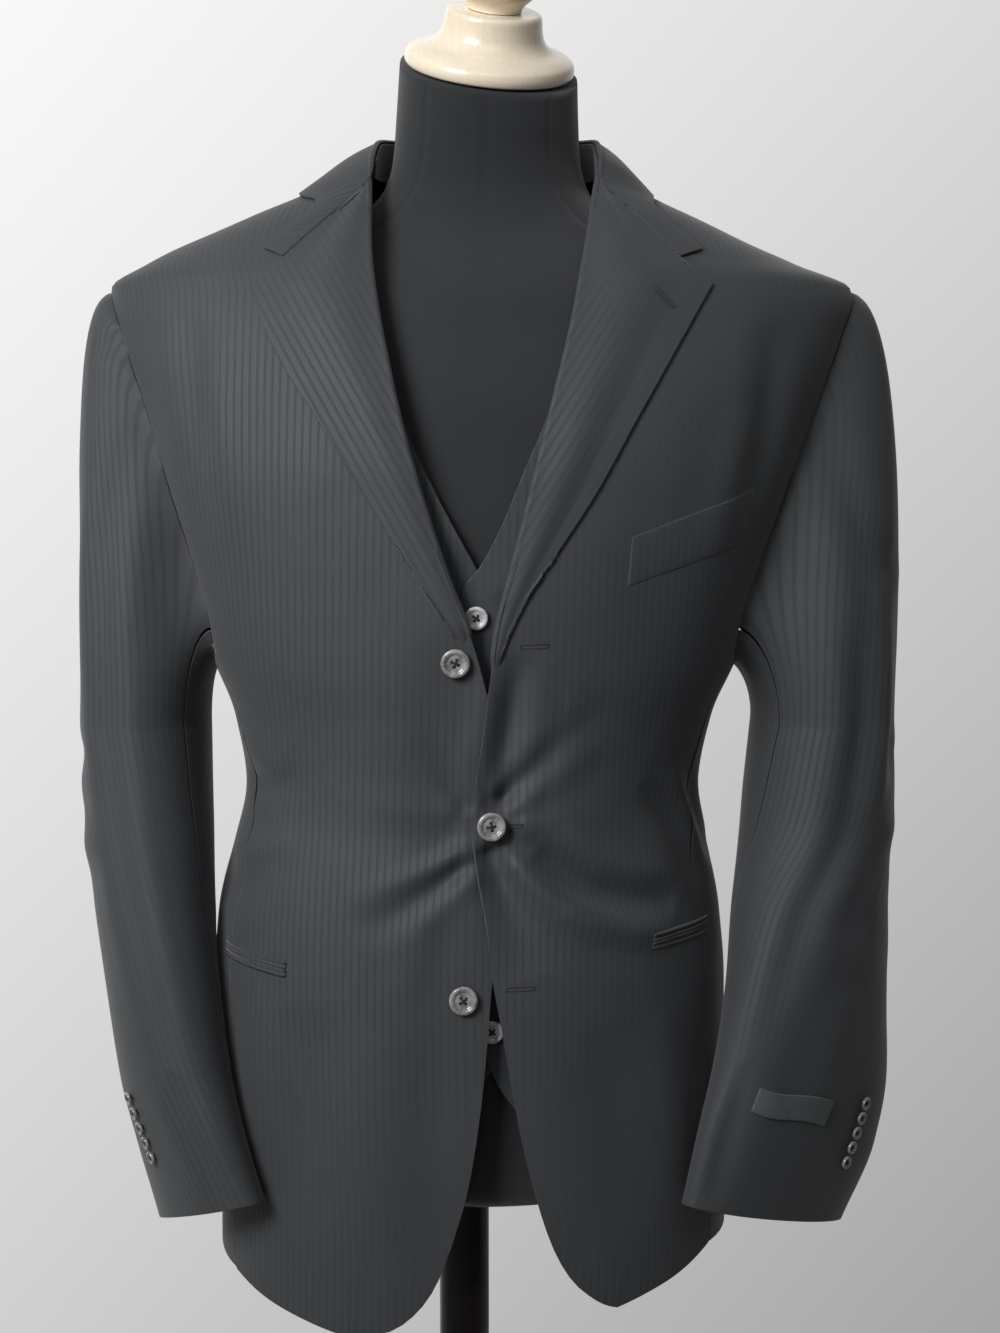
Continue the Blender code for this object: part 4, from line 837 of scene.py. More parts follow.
def lacquered_maple():
    g = Graph("pale_maple", Coat_Weight=0.8, Coat_Roughness=0.06, Specular_IOR_Level=0.5)
    where = g.place()
    stretched = g.node("ShaderNodeMapping", {"Vector": where, "Scale": (1.0, 1.0, 0.12)}).outputs[0]
    rings = g.node("ShaderNodeTexWave", {"Vector": stretched, "Scale": 55.0, "Distortion": 5.0,
                                         "Detail": 4.0, "Detail Scale": 1.5}).outputs["Fac"]
    fibre = g.noise(700.0, 4.0, stretched)
    flame = g.noise(28.0, 2.0, where)
    grown = g.line(fibre, 0.35, g.times(flame, 0.50))
    tone = g.line(rings, 0.15, grown)
    colour = g.mix(g.between(tone, 0.20, 0.85), *MAPLE_CREAM)
    return g.finish(colour, g.line(fibre, 0.08, 0.24), fibre, depth=0.00003, strength=0.25)


def enamel():
    g = Graph("dark_brown_enamel", Coat_Weight=0.12, Coat_Roughness=0.20, Specular_IOR_Level=0.25)
    where = g.place()
    orange_peel = g.noise(420.0, 2.0, where)
    dust = g.between(g.noise(18.0, 4.0, where), 0.45, 0.75)
    colour = g.mix(dust, *ENAMEL_BROWN)
    return g.finish(colour, g.line(dust, 0.15, 0.30), orange_peel, depth=0.00008, strength=0.25)


def plain(name, colour, grainy, roughness=0.9):
    g = Graph(name, Specular_IOR_Level=0.2)
    tone = g.noise(grainy, 3.0, g.place())
    light = tuple(min(1.0, 1.04 * part) for part in colour)
    return g.finish(g.mix(tone, colour, light), roughness)


# ---- making pieces --------------------------------------------------------------
EDGE_STEP = 0.0009          # a row this close to each edge keeps the edge crisp


def edged(low, high, count, length):
    """Even places from low to high, with one more close to either end."""
    step = (high - low) * min(EDGE_STEP / length, 0.2)
    return [low, low + step] + spread(low, high, count)[1:-1] + [high - step, high]


class Fine(namedtuple("Fine", "rows tall columns wide")):
    """How fine a panel is: points up it and across it, and about how far those run."""

    def up(self, low, high):
        return edged(low, high, self.rows, self.tall)

    def across(self, low=0.0, high=1.0):
        return edged(low, high, self.columns, self.wide)


FRONT, SIDE, BACK = Fine(210, 0.67, 64, 0.24), Fine(90, 0.42, 22, 0.11), Fine(150, 0.75, 52, 0.26)
LAPEL, LAPEL_HEAD = Fine(80, 0.25, 30, 0.10), Fine(30, 0.08, 30, 0.10)
LEAF, STAND = Fine(150, 0.50, 18, 0.05), Fine(90, 0.40, 8, 0.03)
UPPER_ARM, UNDER_ARM = Fine(84, 0.34, 110, 0.26), Fine(84, 0.34, 36, 0.09)
VEST_FRONT, VEST_BACK = Fine(150, 0.60, 44, 0.22), Fine(110, 0.56, 90, 0.50)
LABEL_POINTS, JET_POINTS, WELT_POINTS, STRIP_POINTS = (50, 12), (30, 9), (46, 26), (40, 18)


def mesh_data(name, mesh, *finishes):
    data = bpy.data.meshes.new(name)
    mesh.to_mesh(data)
    mesh.free()
    for finish in finishes:
        data.materials.append(finish)
    return data


def placed(name, data):
    """A new object in the scene."""
    obj = bpy.data.objects.new(name, data)
    bpy.context.scene.collection.objects.link(obj)
    return obj


def add(name, mesh, *finishes):
    """A new object on the suit's one body, with its materials."""
    obj = placed(name, mesh_data(name, mesh, *finishes))
    obj.data.shade_smooth()
    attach(obj, "root")
    return obj


def cloth(name, grid, thickness, outside, inside, flip=False):
    """A panel from rows of (point, grain) on its outer face, thickened inwards."""
    mesh = bmesh.new()
    layer = mesh.loops.layers.uv.new("grain")
    rows, place = [], {}
    for row in grid:
        rows.append([mesh.verts.new(lean(point)) for point, _ in row])
        place.update(zip(rows[-1], (uv for _, uv in row)))
    for low, high in zip(rows, rows[1:]):
        for a, b, c, d in zip(low, low[1:], high[1:], high):
            face = mesh.faces.new((d, c, b, a) if flip else (a, b, c, d))
            for loop in face.loops:
                loop[layer].uv = place[loop.vert]
    obj = add(name, mesh, outside, inside)
    wall = obj.modifiers.new("wall", "SOLIDIFY")
    wall.thickness, wall.offset, wall.material_offset = thickness, -1.0, 1
    return obj


def raised(grid, height_of, side=1):
    """The same rows, moved out along the surface by a height for each place."""
    rows = []
    for i, row in enumerate(grid):
        made = []
        for j, point in enumerate(row):
            up = grid[min(i + 1, len(grid) - 1)][j] - grid[max(i - 1, 0)][j]
            on = row[min(j + 1, len(row) - 1)] - row[max(j - 1, 0)]
            made.append(point + on.cross(up).normalized() * side * height_of(i, j))
        rows.append(made)
    return rows


# ---- jacket panels --------------------------------------------------------------
FRONT_TOP = 1.4910
FRONT_CROWD = 1.5           # columns stand closer toward the front's edge
SIDE_RISE, RISE_FADES = 0.021, 0.90     # the hem climbs this much to the side, less and less up to here
CUTAWAY, CUTAWAY_ROWS, CUTAWAY_CROWD = 0.083, 12, 2.2   # height of the cutaway's bottom, and its closer rows
SIDE_CLEAR = 3.5            # half seams left at the side panel's curved edges
SIDE_BENDS = 0.6            # share of its height from which it bends to the armhole
BACK_NECK_RISE = 0.006      # from the neck's centre back to the shoulder seam
BACK_RISE_FROM, BACK_TOP = 1.45, 1.4920


def on_front(side, x, z, distance):
    return jacket_at(z, jacket.turn_of(z, x), distance + front_out(side, x, z))


def body_cloth(name, places, flip):
    """A jacket panel from rows of (height, turn, distance off the skin)."""
    grid = [[(jacket_at(z, turn, off), (jacket_lay(z, signed(turn)), z)) for z, turn, off in row]
            for row in places]
    return cloth(name, grid, CLOTH, suiting, lining, flip)


def jacket_front(name, side, edge):
    inner, bottom = column(edge, "z", "x"), edge[0].z
    low = [bottom + CUTAWAY * (i / CUTAWAY_ROWS) ** CUTAWAY_CROWD for i in range(CUTAWAY_ROWS)]
    places = []
    for height in low + FRONT.up(bottom + CUTAWAY, FRONT_TOP):
        start, stop = jacket.turn_of(height, inner(height)), side * front_limit(height)
        fade = 1.0 - smooth(bottom, RISE_FADES, height)
        row = []
        for share in [even ** FRONT_CROWD for even in FRONT.across()]:
            z, turn = height + SIDE_RISE * share * fade, mix(start, stop, share)
            row.append((z, turn, front_out(side, jacket.at(z, turn).x, z)))
        places.append(row)
    return body_cloth(name, places, side < 0)


def jacket_side(name, side, hem_front, hem_back):
    places = []
    for share in SIDE.up(0.0, 1.0):
        row = []
        for along in SIDE.across():
            walk = mix(SEAM_FRONT, SEAM_BACK, along)
            z = mix(mix(hem_front, hem_back, along), hole_z(walk) - SEAM / 2, share)
            inset = turn_gap(z, SEAM / 2)
            low, high = front_limit(z) + SIDE_CLEAR * inset, back_limit(z) - SIDE_CLEAR * inset
            if share == 1.0:
                low, high = hole_turn(SEAM_FRONT) + inset, hole_turn(SEAM_BACK) - inset
            turn = mix(mix(low, high, along), hole_turn(walk), smooth(SIDE_BENDS, 1.0, share))
            row.append((z, side * min(max(turn, low), high), 0.0))
        places.append(row)
    return body_cloth(name, places, side < 0)


def jacket_back(name, side, hem):
    places = []
    for height in BACK.up(hem, BACK_TOP):
        row = []
        for share in BACK.across():
            z = height + BACK_NECK_RISE * share * smooth(BACK_RISE_FROM, BACK_TOP, height)
            row.append((z, side * mix(180.0 - turn_gap(z, SEAM / 2), back_limit(z), share), 0.0))
        places.append(row)
    return body_cloth(name, places, side > 0)


# ---- lapels and collar ------------------------------------------------------------
LAPEL_LIE = FACING + LAY + 0.0002       # outer face of a lapel that lies flat
LAPEL_ROLL = 0.0030                     # extra height of its soft roll
ROLL_SHARE, ROLL_POWER = 0.75, 1.5      # the roll is over at this share of the width


def lapel_height(share):
    """Outer face above the front, from the roll line (0) to the free edge (1)."""
    return LAPEL_LIE + LAPEL_ROLL * math.sin(math.pi * min(share / ROLL_SHARE, 1.0)) ** ROLL_POWER


LAPEL_TOP = 1.4900          # where the lapels go in under the collar
FULL_ROLL_WIDTH = 0.05      # a narrower lapel rolls less
LAPEL_LEAST = 0.005         # its rows count as no shorter
LAPEL_SLOPE = {+1: 0.62, -1: 0.60}      # how the lapel's outer edge runs, across for each metre up
CURL = 0.0026               # radius of the soft roll where the front turns into the lapel
CURL_STEPS = 7
FOOT_RUN = 0.024            # at its foot a lapel goes in under the front within this height
FOOT_DEPTH, FOOT_INSET, FOOT_WIDTH, FOOT_CURL = 0.0046, 0.0028, 0.0030, 0.0017


def lapel(name, side, front_edge, outer_edge, foot):
    tip = max(range(len(outer_edge)), key=lambda i: abs(outer_edge[i].x))
    inner, tip_z = column(front_edge, "z", "x"), outer_edge[tip].z
    below, above = column(outer_edge[:tip + 1], "z", "x"), column(outer_edge[tip:], "z", "x")
    slope = LAPEL_SLOPE[side]
    square = math.cos(math.atan(slope))
    grid = []
    for z in LAPEL.up(foot, tip_z) + LAPEL_HEAD.up(tip_z, LAPEL_TOP)[1:]:
        shut = 1.0 - smooth(foot, foot + FOOT_RUN, z)
        start = inner(z) + side * FOOT_INSET * shut
        stop = below(z) if z <= tip_z else above(z)
        stop = start + side * math.hypot(stop - start, FOOT_WIDTH * shut)
        roll = min(abs(stop - start) / FULL_ROLL_WIDTH, 1.0)
        curl, lie = mix(CURL, FOOT_CURL, shut), LAPEL_LIE - FOOT_DEPTH * shut
        places = []
        for k in range(CURL_STEPS):
            bend = math.pi * (k / CURL_STEPS - 0.5)
            places.append((start - side * curl * math.cos(bend), lie + curl * (math.sin(bend) - 1.0)))
        for share in edged(0.0, 1.0, LAPEL.columns, max(abs(stop - start), LAPEL_LEAST)):
            places.append((mix(start, stop, share), lie + roll * (lapel_height(share) - LAPEL_LIE)))
        grid.append([(on_front(side, x, z, off), ((side * x - slope * z) * square, z)) for x, off in places])
    return cloth(name, grid, FACING, suiting, suiting, side < 0)


Station = namedtuple("Station", "inner edge_turn edge_z lift")
COLLAR_LIFT = 0.0023        # outer face of the leaf above the panels at its edge
GORGE_LIFT = 0.0012         # the leaf's bulge beside the lapels
STAND_LOW, STAND_HIGH = 1.490, 1.533    # crest heights at which the stand is lowest and highest
STAND_HEIGHT = (0.006, 0.024)           # its least height, and what is added at the back
STAND_INSIDE = 0.0040                   # it stands this far inside the leaf's crest
STAND_SLOPE = 0.0030                    # and its foot this far outside its head
CREST_FORMS = (1.478, 1.502)            # heights between which the crest takes its full roll
CREST_STEPS = 8
CREST_LEAST = 0.0005        # radius of the crest before it takes its full roll
CREST_MIDDLE, EDGE_MIDDLE = -0.004, 0.02    # y of the points round which the crest and the edge run
LEAF_UP = 0.8               # how much the leaf bulges up for each metre outward
STAND_BELOW = 0.0010        # the stand's head is this far below the leaf's crest


def collar_rows():
    """Stations of the leaf from the wearer's right tip round to the left one."""
    gorge = {+1: column(LEFT_LAPEL_EDGE, "z", "x"), -1: column(RIGHT_LAPEL_EDGE, "z", "x")}
    halves = {}
    for side in (+1, -1):
        rows = []
        for leaf in COLLAR_BACK:
            inner = Vector((side * leaf.inner_x, leaf.inner_y, leaf.inner_z))
            rows.append(Station(inner, leaf.edge_turn * side, leaf.edge_z, leaf.lift))
        for leaf in COLLAR_GORGE:
            inner_x = gorge[side](leaf.inner_z) + side * 4 * SEAM
            inner = jacket_at(leaf.inner_z, jacket.turn_of(leaf.inner_z, inner_x), LAPEL_LIE)
            edge_turn = jacket.turn_of(leaf.edge_z, side * leaf.edge_x)
            rows.append(Station(inner, edge_turn, leaf.edge_z, GORGE_LIFT))
        halves[side] = rows
    right = [row._replace(edge_turn=row.edge_turn + 360.0) for row in reversed(halves[-1])]
    return right[:-1] + halves[+1]


def along_rows(rows, stations):
    """Rows read smoothly between their members: inner point, edge point, lift."""
    places = list(range(len(rows)))
    inner = [Curve(places, [row.inner[axis] for row in rows]) for axis in range(3)]
    turn, height, lift = (Curve(places, [getattr(row, name) for row in rows])
                          for name in ("edge_turn", "edge_z", "lift"))
    for s in stations:
        yield Vector([c(s) for c in inner]), jacket_at(height(s), turn(s), COLLAR_LIFT), lift(s)


def to_neck(point):
    """The level way in from the collar's crest."""
    return Vector((-point.x, CREST_MIDDLE - point.y, 0.0)).normalized()


def collar():
    rows = collar_rows()
    grid, run, before = [], 0.0, None
    for inner, edge, lift in along_rows(rows, LEAF.up(0, len(rows) - 1)):
        outward = Vector((edge.x, edge.y - EDGE_MIDDLE, 0.0)).normalized() + Vector((0, 0, LEAF_UP))
        middle = (inner + edge) / 2 + outward.normalized() * lift
        run += (edge - before).length if before else 0.0
        before = edge
        inward = to_neck(inner)
        radius = mix(CREST_LEAST, STAND_INSIDE / 2, smooth(*CREST_FORMS, inner.z))
        row = []
        for k in range(CREST_STEPS):
            bend = math.pi * k / CREST_STEPS
            up = Vector((0, 0, radius * math.sin(bend)))
            row.append(inner + inward * radius * (1 + math.cos(bend)) + up)
        for t in LEAF.across():
            row.append(inner * (1 - t) ** 2 + middle * 2 * t * (1 - t) + edge * t * t)
        grid.append([(point, (run, (point - inner).length)) for point in row])
    return cloth("collar_leaf", grid, FACING, suiting, suiting, True)


def collar_stand():
    tips = len(COLLAR_GORGE)
    rows = collar_rows()[tips:-tips]
    grid, run, before = [], 0.0, None
    for top, _, _ in along_rows(rows, STAND.up(0, len(rows) - 1)):
        inward = to_neck(top)
        behind = smooth(STAND_LOW, STAND_HIGH, top.z)
        height = STAND_HEIGHT[0] + STAND_HEIGHT[1] * behind
        head = top + inward * STAND_INSIDE + Vector((0, 0, -STAND_BELOW))
        foot = head + Vector((0, 0, -height)) - inward * STAND_SLOPE * behind
        run += (top - before).length if before else 0.0
        before = top
        grid.append([(mix(head, foot, t), (run, height * t)) for t in STAND.across()])
    return cloth("collar_band", grid, FACING, suiting, suiting, True)


# ---- what lies on the fronts --------------------------------------------------------
def patch(name, side, corners, counts, thickness, finishes, out=LAY, puff=0.0):
    """A strip that lies on a front, between four (x, z) corners in order."""
    a, b, c, d = corners
    columns, rows = counts
    grid = []
    for v in edged(0.0, 1.0, rows, abs(d[1] - a[1])):
        row = []
        for u in edged(0.0, 1.0, columns, abs(b[0] - a[0])):
            x = mix(mix(a[0], b[0], u), mix(d[0], c[0], u), v)
            z = mix(mix(a[1], b[1], u), mix(d[1], c[1], u), v)
            round_ = (math.sin(math.pi * u) * math.sin(math.pi * v)) ** PUFF_POWER
            point = on_front(side, x, z, out + thickness + puff * (round_ - 1.0))
            row.append((point, (jacket_lay(z, jacket.turn_of(z, x)), z)))
        grid.append(row)
    return cloth(name, grid, thickness, *finishes, side < 0)


WELT = ((0.0987, 1.2148), (0.1770, 1.2412), (0.1850, 1.2783), (0.1004, 1.2469))
LINING = 0.0008             # wall of the lining that hangs below the right front's hem
LINING_INSIDE = 0.0010      # it hangs this far inside the front
LINING_STRIP = ((-0.1020, 0.7208), (-0.1500, 0.7318), (-0.1500, 0.7560), (-0.1020, 0.7450))
JET_WIDTH = 0.0050
JET_PUFF, WELT_PUFF, PUFF_POWER = 0.0008, 0.0010, 0.3   # how far their middles bulge, and how flatly
POCKET_SUNK = -0.0004       # how far the back of a jet or the welt lies off the front's face
HIP_POCKET = {              # inner and outer (x, z) end of the slit, by side
    +1: ((0.1230, 0.9780), (0.1650, 0.9800)),
    -1: ((-0.1200, 0.9600), (-0.1680, 0.9635)),
}


def hip_jet(side, level):
    (inner_x, inner_z), (outer_x, outer_z) = HIP_POCKET[side]
    low = 0.0 if level == "upper" else -JET_WIDTH - SEAM
    corners = ((inner_x, inner_z + low), (outer_x, outer_z + low),
               (outer_x, outer_z + low + JET_WIDTH), (inner_x, inner_z + low + JET_WIDTH))
    return patch(f"hip_jet_{level}_{LETTER[side]}", side, corners, JET_POINTS, FACING, wool_both,
                 POCKET_SUNK, JET_PUFF)


# ---- sleeves ------------------------------------------------------------------------
SLEEVE_GAP = 0.0026         # the sleeve stays this far from the body
SLEEVE_SEAM = 0.8           # degrees of walk left beside each of a sleeve's two seams
HOLE_MIDDLE = 1.29          # height of the armhole's middle
NORMAL_REACH = (0.004, 2.0) # an arm's normal is taken over this much height and walk
CAP_REACH = (0.004, 0.028)  # how far the cap rolls out of the armhole, underarm and shoulder
CAP_FALL = 0.62             # share of the cap's drop at which it turns down the arm
CAP_ROWS, CAP_TALL, ARM_TOP = 30, 0.30, 1.115
CAP_PLAIN_ROWS = 5          # rows over which the creases start, from the seam down
CAP_GRAIN = Curve((0, 12, 25, 45, 75, 134), (0.0, 0.28, 0.52, 0.72, 0.86, 1.0))  # along the seam, by walk


class Sleeve:
    """One arm of the jacket, read by a step down the arm and a walk round it."""

    def __init__(self, side, table, creases):
        self.side = side
        rising = sorted(table, key=lambda row: row.z)
        self.ring = {name: column(rising, "z", name) for name in RING.split()[1:]}
        self.cuff = rising[0].z
        self.creases = Creases(creases, math.radians(1.0) * SLEEVE_RADIUS)

    def level(self, z, walk):
        front = Vector((self.ring["front_x"](z), self.ring["front_y"](z), z))
        rear = Vector((self.ring["rear_x"](z), self.ring["rear_y"](z), z))
        middle, reach = (front + rear) / 2, (front - rear) / 2
        across = Vector((-reach.y, reach.x, 0.0)).normalized() * self.ring["width"](z) / 2
        s, c = math.sin(math.radians(walk)), math.cos(math.radians(walk))
        point = middle + reach * s + across * c
        point.z += self.ring["rise"](z) * s
        point.x *= self.side
        return jacket.clear(point, SLEEVE_GAP)

    def seam(self, walk):
        """The sleeve's end at the armhole, just inside the panels' edge."""
        z, turn = hole_z(walk), hole_turn(walk)
        edge = jacket_at(z, self.side * turn, LAY)
        middle = jacket.out(HOLE_MIDDLE, self.side * SHOULDER_SEAM, LAY)
        return edge + (middle - edge).normalized() * 3 * SEAM

    def cap(self, t, walk):
        top, low = self.seam(walk % 360.0), self.level(ARM_TOP, walk)
        drop = top.z - low.z
        upper = (1 + math.cos(math.radians(walk))) / 2
        start = top + Vector((self.side * mix(*CAP_REACH, upper), 0, 0))
        end = low + Vector((0, 0, drop * CAP_FALL))
        a, b = (1 - t) ** 3, 3 * t * (1 - t) ** 2
        c, d = 3 * t * t * (1 - t), t ** 3
        return top * a + start * b + end * c + low * d

    def panel(self, name, walks):
        """Cloth from the armhole to the cuff, over a stretch of the walk."""
        grid = [[self.cap(t, walk) for walk in walks] for t in edged(0.0, 1.0, CAP_ROWS, CAP_TALL)[:-2]]
        heights = UPPER_ARM.up(ARM_TOP, self.cuff)
        grid += [[self.level(z, walk) for walk in walks] for z in heights]
        lengths, down, grain = [0.0], 0.0, []
        for before, here in zip(grid, grid[1:]):
            down += (here[len(here) // 2] - before[len(here) // 2]).length
            lengths.append(down)
        middle = len(walks) // 2
        below = len(grid) - len(heights)
        for i, length in enumerate(lengths):
            run, row = [0.0], grid[max(i, below)]
            for a, b in zip(row, row[1:]):
                run.append(run[-1] + (b - a).length)
            run = [place - run[middle] for place in run]
            if i < below and abs(walks[middle]) < SHOULDER_SEAM:
                cut = [math.copysign(CAP_GRAIN(abs(walk)) * run[-1], walk) for walk in walks]
                run = [mix(a, b, smooth(0.0, 1.0, i / below)) for a, b in zip(cut, run)]
            grain.append([(place, -length) for place in run])
        fade = spread(0.0, 1.0, CAP_PLAIN_ROWS)

        def height(i, j):
            point = grid[i][j]
            return self.creases(walks[j], point.z) * (fade[i] if i < len(fade) else 1.0)

        rows = [list(zip(*row)) for row in zip(raised(grid, height, self.side), grain)]
        return cloth(name, rows, CLOTH, suiting, lining, self.side < 0)

    def out(self, z, walk, distance):
        """A point off the arm, with its normal."""
        dz, dwalk = NORMAL_REACH
        down = self.level(z - dz, walk) - self.level(z + dz, walk)
        round_ = self.level(z, walk + dwalk) - self.level(z, walk - dwalk)
        normal = round_.cross(down).normalized() * self.side
        return self.level(z, walk) + normal * (distance + self.creases(walk, z)), normal


CUFF_BUTTON_WALK = {+1: -20.0, -1: 0.0}
CUFF_BUTTON_FOOT = 0.0405   # lowest cuff button above the cuff's edge
LABEL_Z = (0.8512, 0.8680)  # lower and upper edge at the label's inner end
LABEL_WALK = (55.0, 6.0)    # inner and outer end
LABEL_DROP = 0.0065         # the outer end hangs this much lower
LABEL_LENGTH = 0.05
LABEL_RIBBON = 0.0010       # its thickness
LABEL_WAVE = 0.0011         # its edges wave this much


def sleeve_label():
    grid = []
    for z in edged(*LABEL_Z, LABEL_POINTS[1], LABEL_Z[1] - LABEL_Z[0]):
        row = []
        for share in edged(1.0, 0.0, LABEL_POINTS[0], LABEL_LENGTH):
            walk = mix(*LABEL_WALK, share)
            wave = LABEL_WAVE * math.sin(2 * math.pi * share)
            point, _ = left_sleeve.out(z - LABEL_DROP * share - wave, walk, LAY + LABEL_RIBBON)
            row.append((point, (math.radians(walk) * SLEEVE_RADIUS, z)))
        grid.append(row)
    return cloth("sleeve_label_ribbon", grid, LABEL_RIBBON, ribbon, ribbon, True)


# ---- waistcoat ------------------------------------------------------------------------
WAISTCOAT_TOP = 1.4430
WAISTCOAT_SIDE_HEM = 0.885
WAISTCOAT_RISE_FADES = 0.98             # its hem climbs to the side, less and less up to here
WAISTCOAT_UNDER_X = (-0.040, -0.012)    # the right front passes under the left between these
WAISTCOAT_UNDER_Z = (1.2134, 1.25)      # and up to here
WAISTCOAT_BUTTON_X = (0.0014, 0.0181)   # top and lowest button
WAISTCOAT_CREASES = table(
    CREASE,
    ((0.012, 1.197), (0.040, 1.212), (0.076, 1.236), 0.0080, -0.0018),
    ((-0.008, 1.192), (-0.040, 1.200), (-0.074, 1.222), 0.0080, -0.0018),
    ((0.016, 1.142), (0.050, 1.146), (0.095, 1.156), 0.0080, -0.0016),
    ((-0.006, 1.138), (-0.046, 1.136), (-0.092, 1.150), 0.0080, -0.0016),
    ((0.020, 1.084), (0.060, 1.080), (0.105, 1.088), 0.0090, -0.0020),
    ((-0.004, 1.080), (-0.050, 1.074), (-0.100, 1.084), 0.0090, -0.0020),
    ((0.024, 0.930), (0.050, 0.918), (0.085, 0.924), 0.0080, -0.0016),
    ((0.150, 1.060), (0.190, 1.040), (0.240, 1.046), 0.0100, -0.0022),
    ((-0.150, 1.062), (-0.190, 1.044), (-0.240, 1.050), 0.0100, -0.0022),
)
waistcoat_creases = Creases(WAISTCOAT_CREASES)
waistcoat_hole = column(WAISTCOAT_ARMHOLE, "z", "x")


def waistcoat_at(z, turn, distance=0.0):
    turn = signed(turn)
    return waistcoat.out(z, turn, distance + waistcoat_creases(waistcoat_lay(z, turn), z))


def waistcoat_limit(z):
    """Turn of the waistcoat's side seam or armhole edge, front half."""
    if z < WAISTCOAT_ARMHOLE[0].z:
        return SHOULDER_SEAM - math.degrees(SEAM / 2 / waistcoat.half(z))
    return waistcoat.turn_of(z, waistcoat_hole(z))


def waistcoat_front(name, side, edge):
    inner, bottom = column(edge, "z", "x"), edge[0].z
    grid = []
    for height in VEST_FRONT.up(bottom, WAISTCOAT_TOP):
        start, stop = waistcoat.turn_of(height, inner(height)), side * waistcoat_limit(height)
        fade = 1.0 - smooth(bottom, WAISTCOAT_RISE_FADES, height)
        overlap = 1.0 - smooth(*WAISTCOAT_UNDER_Z, height)
        row = []
        for share in VEST_FRONT.across():
            z = height + (WAISTCOAT_SIDE_HEM - bottom) * share * fade
            turn = mix(start, stop, share)
            x = waistcoat.at(z, turn).x
            under = -UNDER_DEPTH * smooth(*WAISTCOAT_UNDER_X, x) * overlap if side < 0 else 0.0
            row.append((waistcoat_at(z, turn, under), (waistcoat_lay(z, turn), z)))
        grid.append(row)
    return cloth(name, grid, CLOTH, suiting, lining, side < 0)


def waistcoat_back():
    grid = []
    for z in VEST_BACK.up(WAISTCOAT_SIDE_HEM, WAISTCOAT_TOP):
        limit = 180.0 - waistcoat_limit(z)
        row = []
        for turn in VEST_BACK.across(limit, 360.0 - limit):
            past_middle = 2 * waistcoat_lay(z, 180.0) if turn > 180.0 else 0.0
            row.append((waistcoat_at(z, turn), (past_middle + waistcoat_lay(z, signed(turn)), z)))
        grid.append(row)
    return cloth("waistcoat_back_cloth", grid, CLOTH, lining, lining)


# ---- buttons --------------------------------------------------------------------------
BUTTON_PROFILE = [          # shares of the button's radius and thickness, from the top's middle
    (0.00, 0.58), (0.50, 0.58), (0.60, 0.66), (0.70, 0.92), (0.79, 1.00), (0.90, 0.97),
    (0.98, 0.76), (1.00, 0.55), (0.97, 0.30), (0.84, 0.06), (0.70, 0.00), (0.00, 0.00),
]
STRAND = 0.00032            # radius of the sewing thread
BUTTON_SIDES, BUTTON_STEPS, HOLE_SIDES = 56, 2, 20
COTTON = 1                  # the thread's material slot on a button
STRAND_BIGHT = (-0.12, 1.12)    # a strand starts and ends this share of its length past its two holes
STRAND_PROUD = 0.0004       # it lies this far off the button's well between them
STRAND_DIP, DIP_FROM = 0.030, 0.42      # and dips into them, past this share from its middle
SHANK_SPREAD = (0.9, 0.72)  # the shank's threads stand this share of the holes' distance out, top and foot
SHANK_THREAD = 2.2          # each is this many strands thick


def join(mesh, rings):
    """Faces from each ring of points to the next."""
    made = []
    for a, b in zip(rings, rings[1:]):
        for k in range(len(a)):
            n = (k + 1) % len(a)
            made.append(mesh.faces.new((a[k], a[n], b[n], b[k])))
    return made


def circle(mesh, sides, radius, height):
    """New points on a level circle round the axis."""
    angles = [2 * math.pi * i / sides for i in range(sides)]
    return [mesh.verts.new((radius * math.cos(a), radius * math.sin(a), height)) for a in angles]


def turned(profile, sides, steps):
    """Turned rings from (radius, height) points that run down the outside."""
    lengths = [0.0]
    for a, b in zip(profile, profile[1:]):
        lengths.append(lengths[-1] + math.hypot(b[0] - a[0], b[1] - a[1]))
    radius, height = Curve(lengths, [p[0] for p in profile]), Curve(lengths, [p[1] for p in profile])
    places = [mix(a, b, k / steps) for a, b in zip(lengths, lengths[1:]) for k in range(steps)]
    mesh = bmesh.new()
    rings = [circle(mesh, sides, radius(place), height(place)) for place in places[1:]]
    top, foot = mesh.verts.new((0, 0, profile[0][1])), mesh.verts.new((0, 0, profile[-1][1]))
    for i in range(sides):
        j = (i + 1) % sides
        for high, low in zip(rings, rings[1:]):
            mesh.faces.new((high[i], low[i], low[j], high[j]))
        mesh.faces.new((top, rings[0][i], rings[0][j]))
        mesh.faces.new((foot, rings[-1][j], rings[-1][i]))
    return mesh


def tube(mesh, points, radius, sides=8):
    """A round thread through the points, added to a button's mesh."""
    rings = []
    for i, point in enumerate(points):
        along = (points[min(i + 1, len(points) - 1)] - points[max(i - 1, 0)]).normalized()
        side = along.cross(Vector((0.3, 0.5, 1.0))).normalized()     # no thread runs this way
        other = along.cross(side)
        ring = []
        for k in range(sides):
            angle = 2 * math.pi * k / sides
            ring.append(mesh.verts.new(point + (side * math.cos(angle) + other * math.sin(angle)) * radius))
        rings.append(ring)
    for face in join(mesh, rings) + [mesh.faces.new(list(reversed(rings[0]))), mesh.faces.new(rings[-1])]:
        face.material_index = COTTON


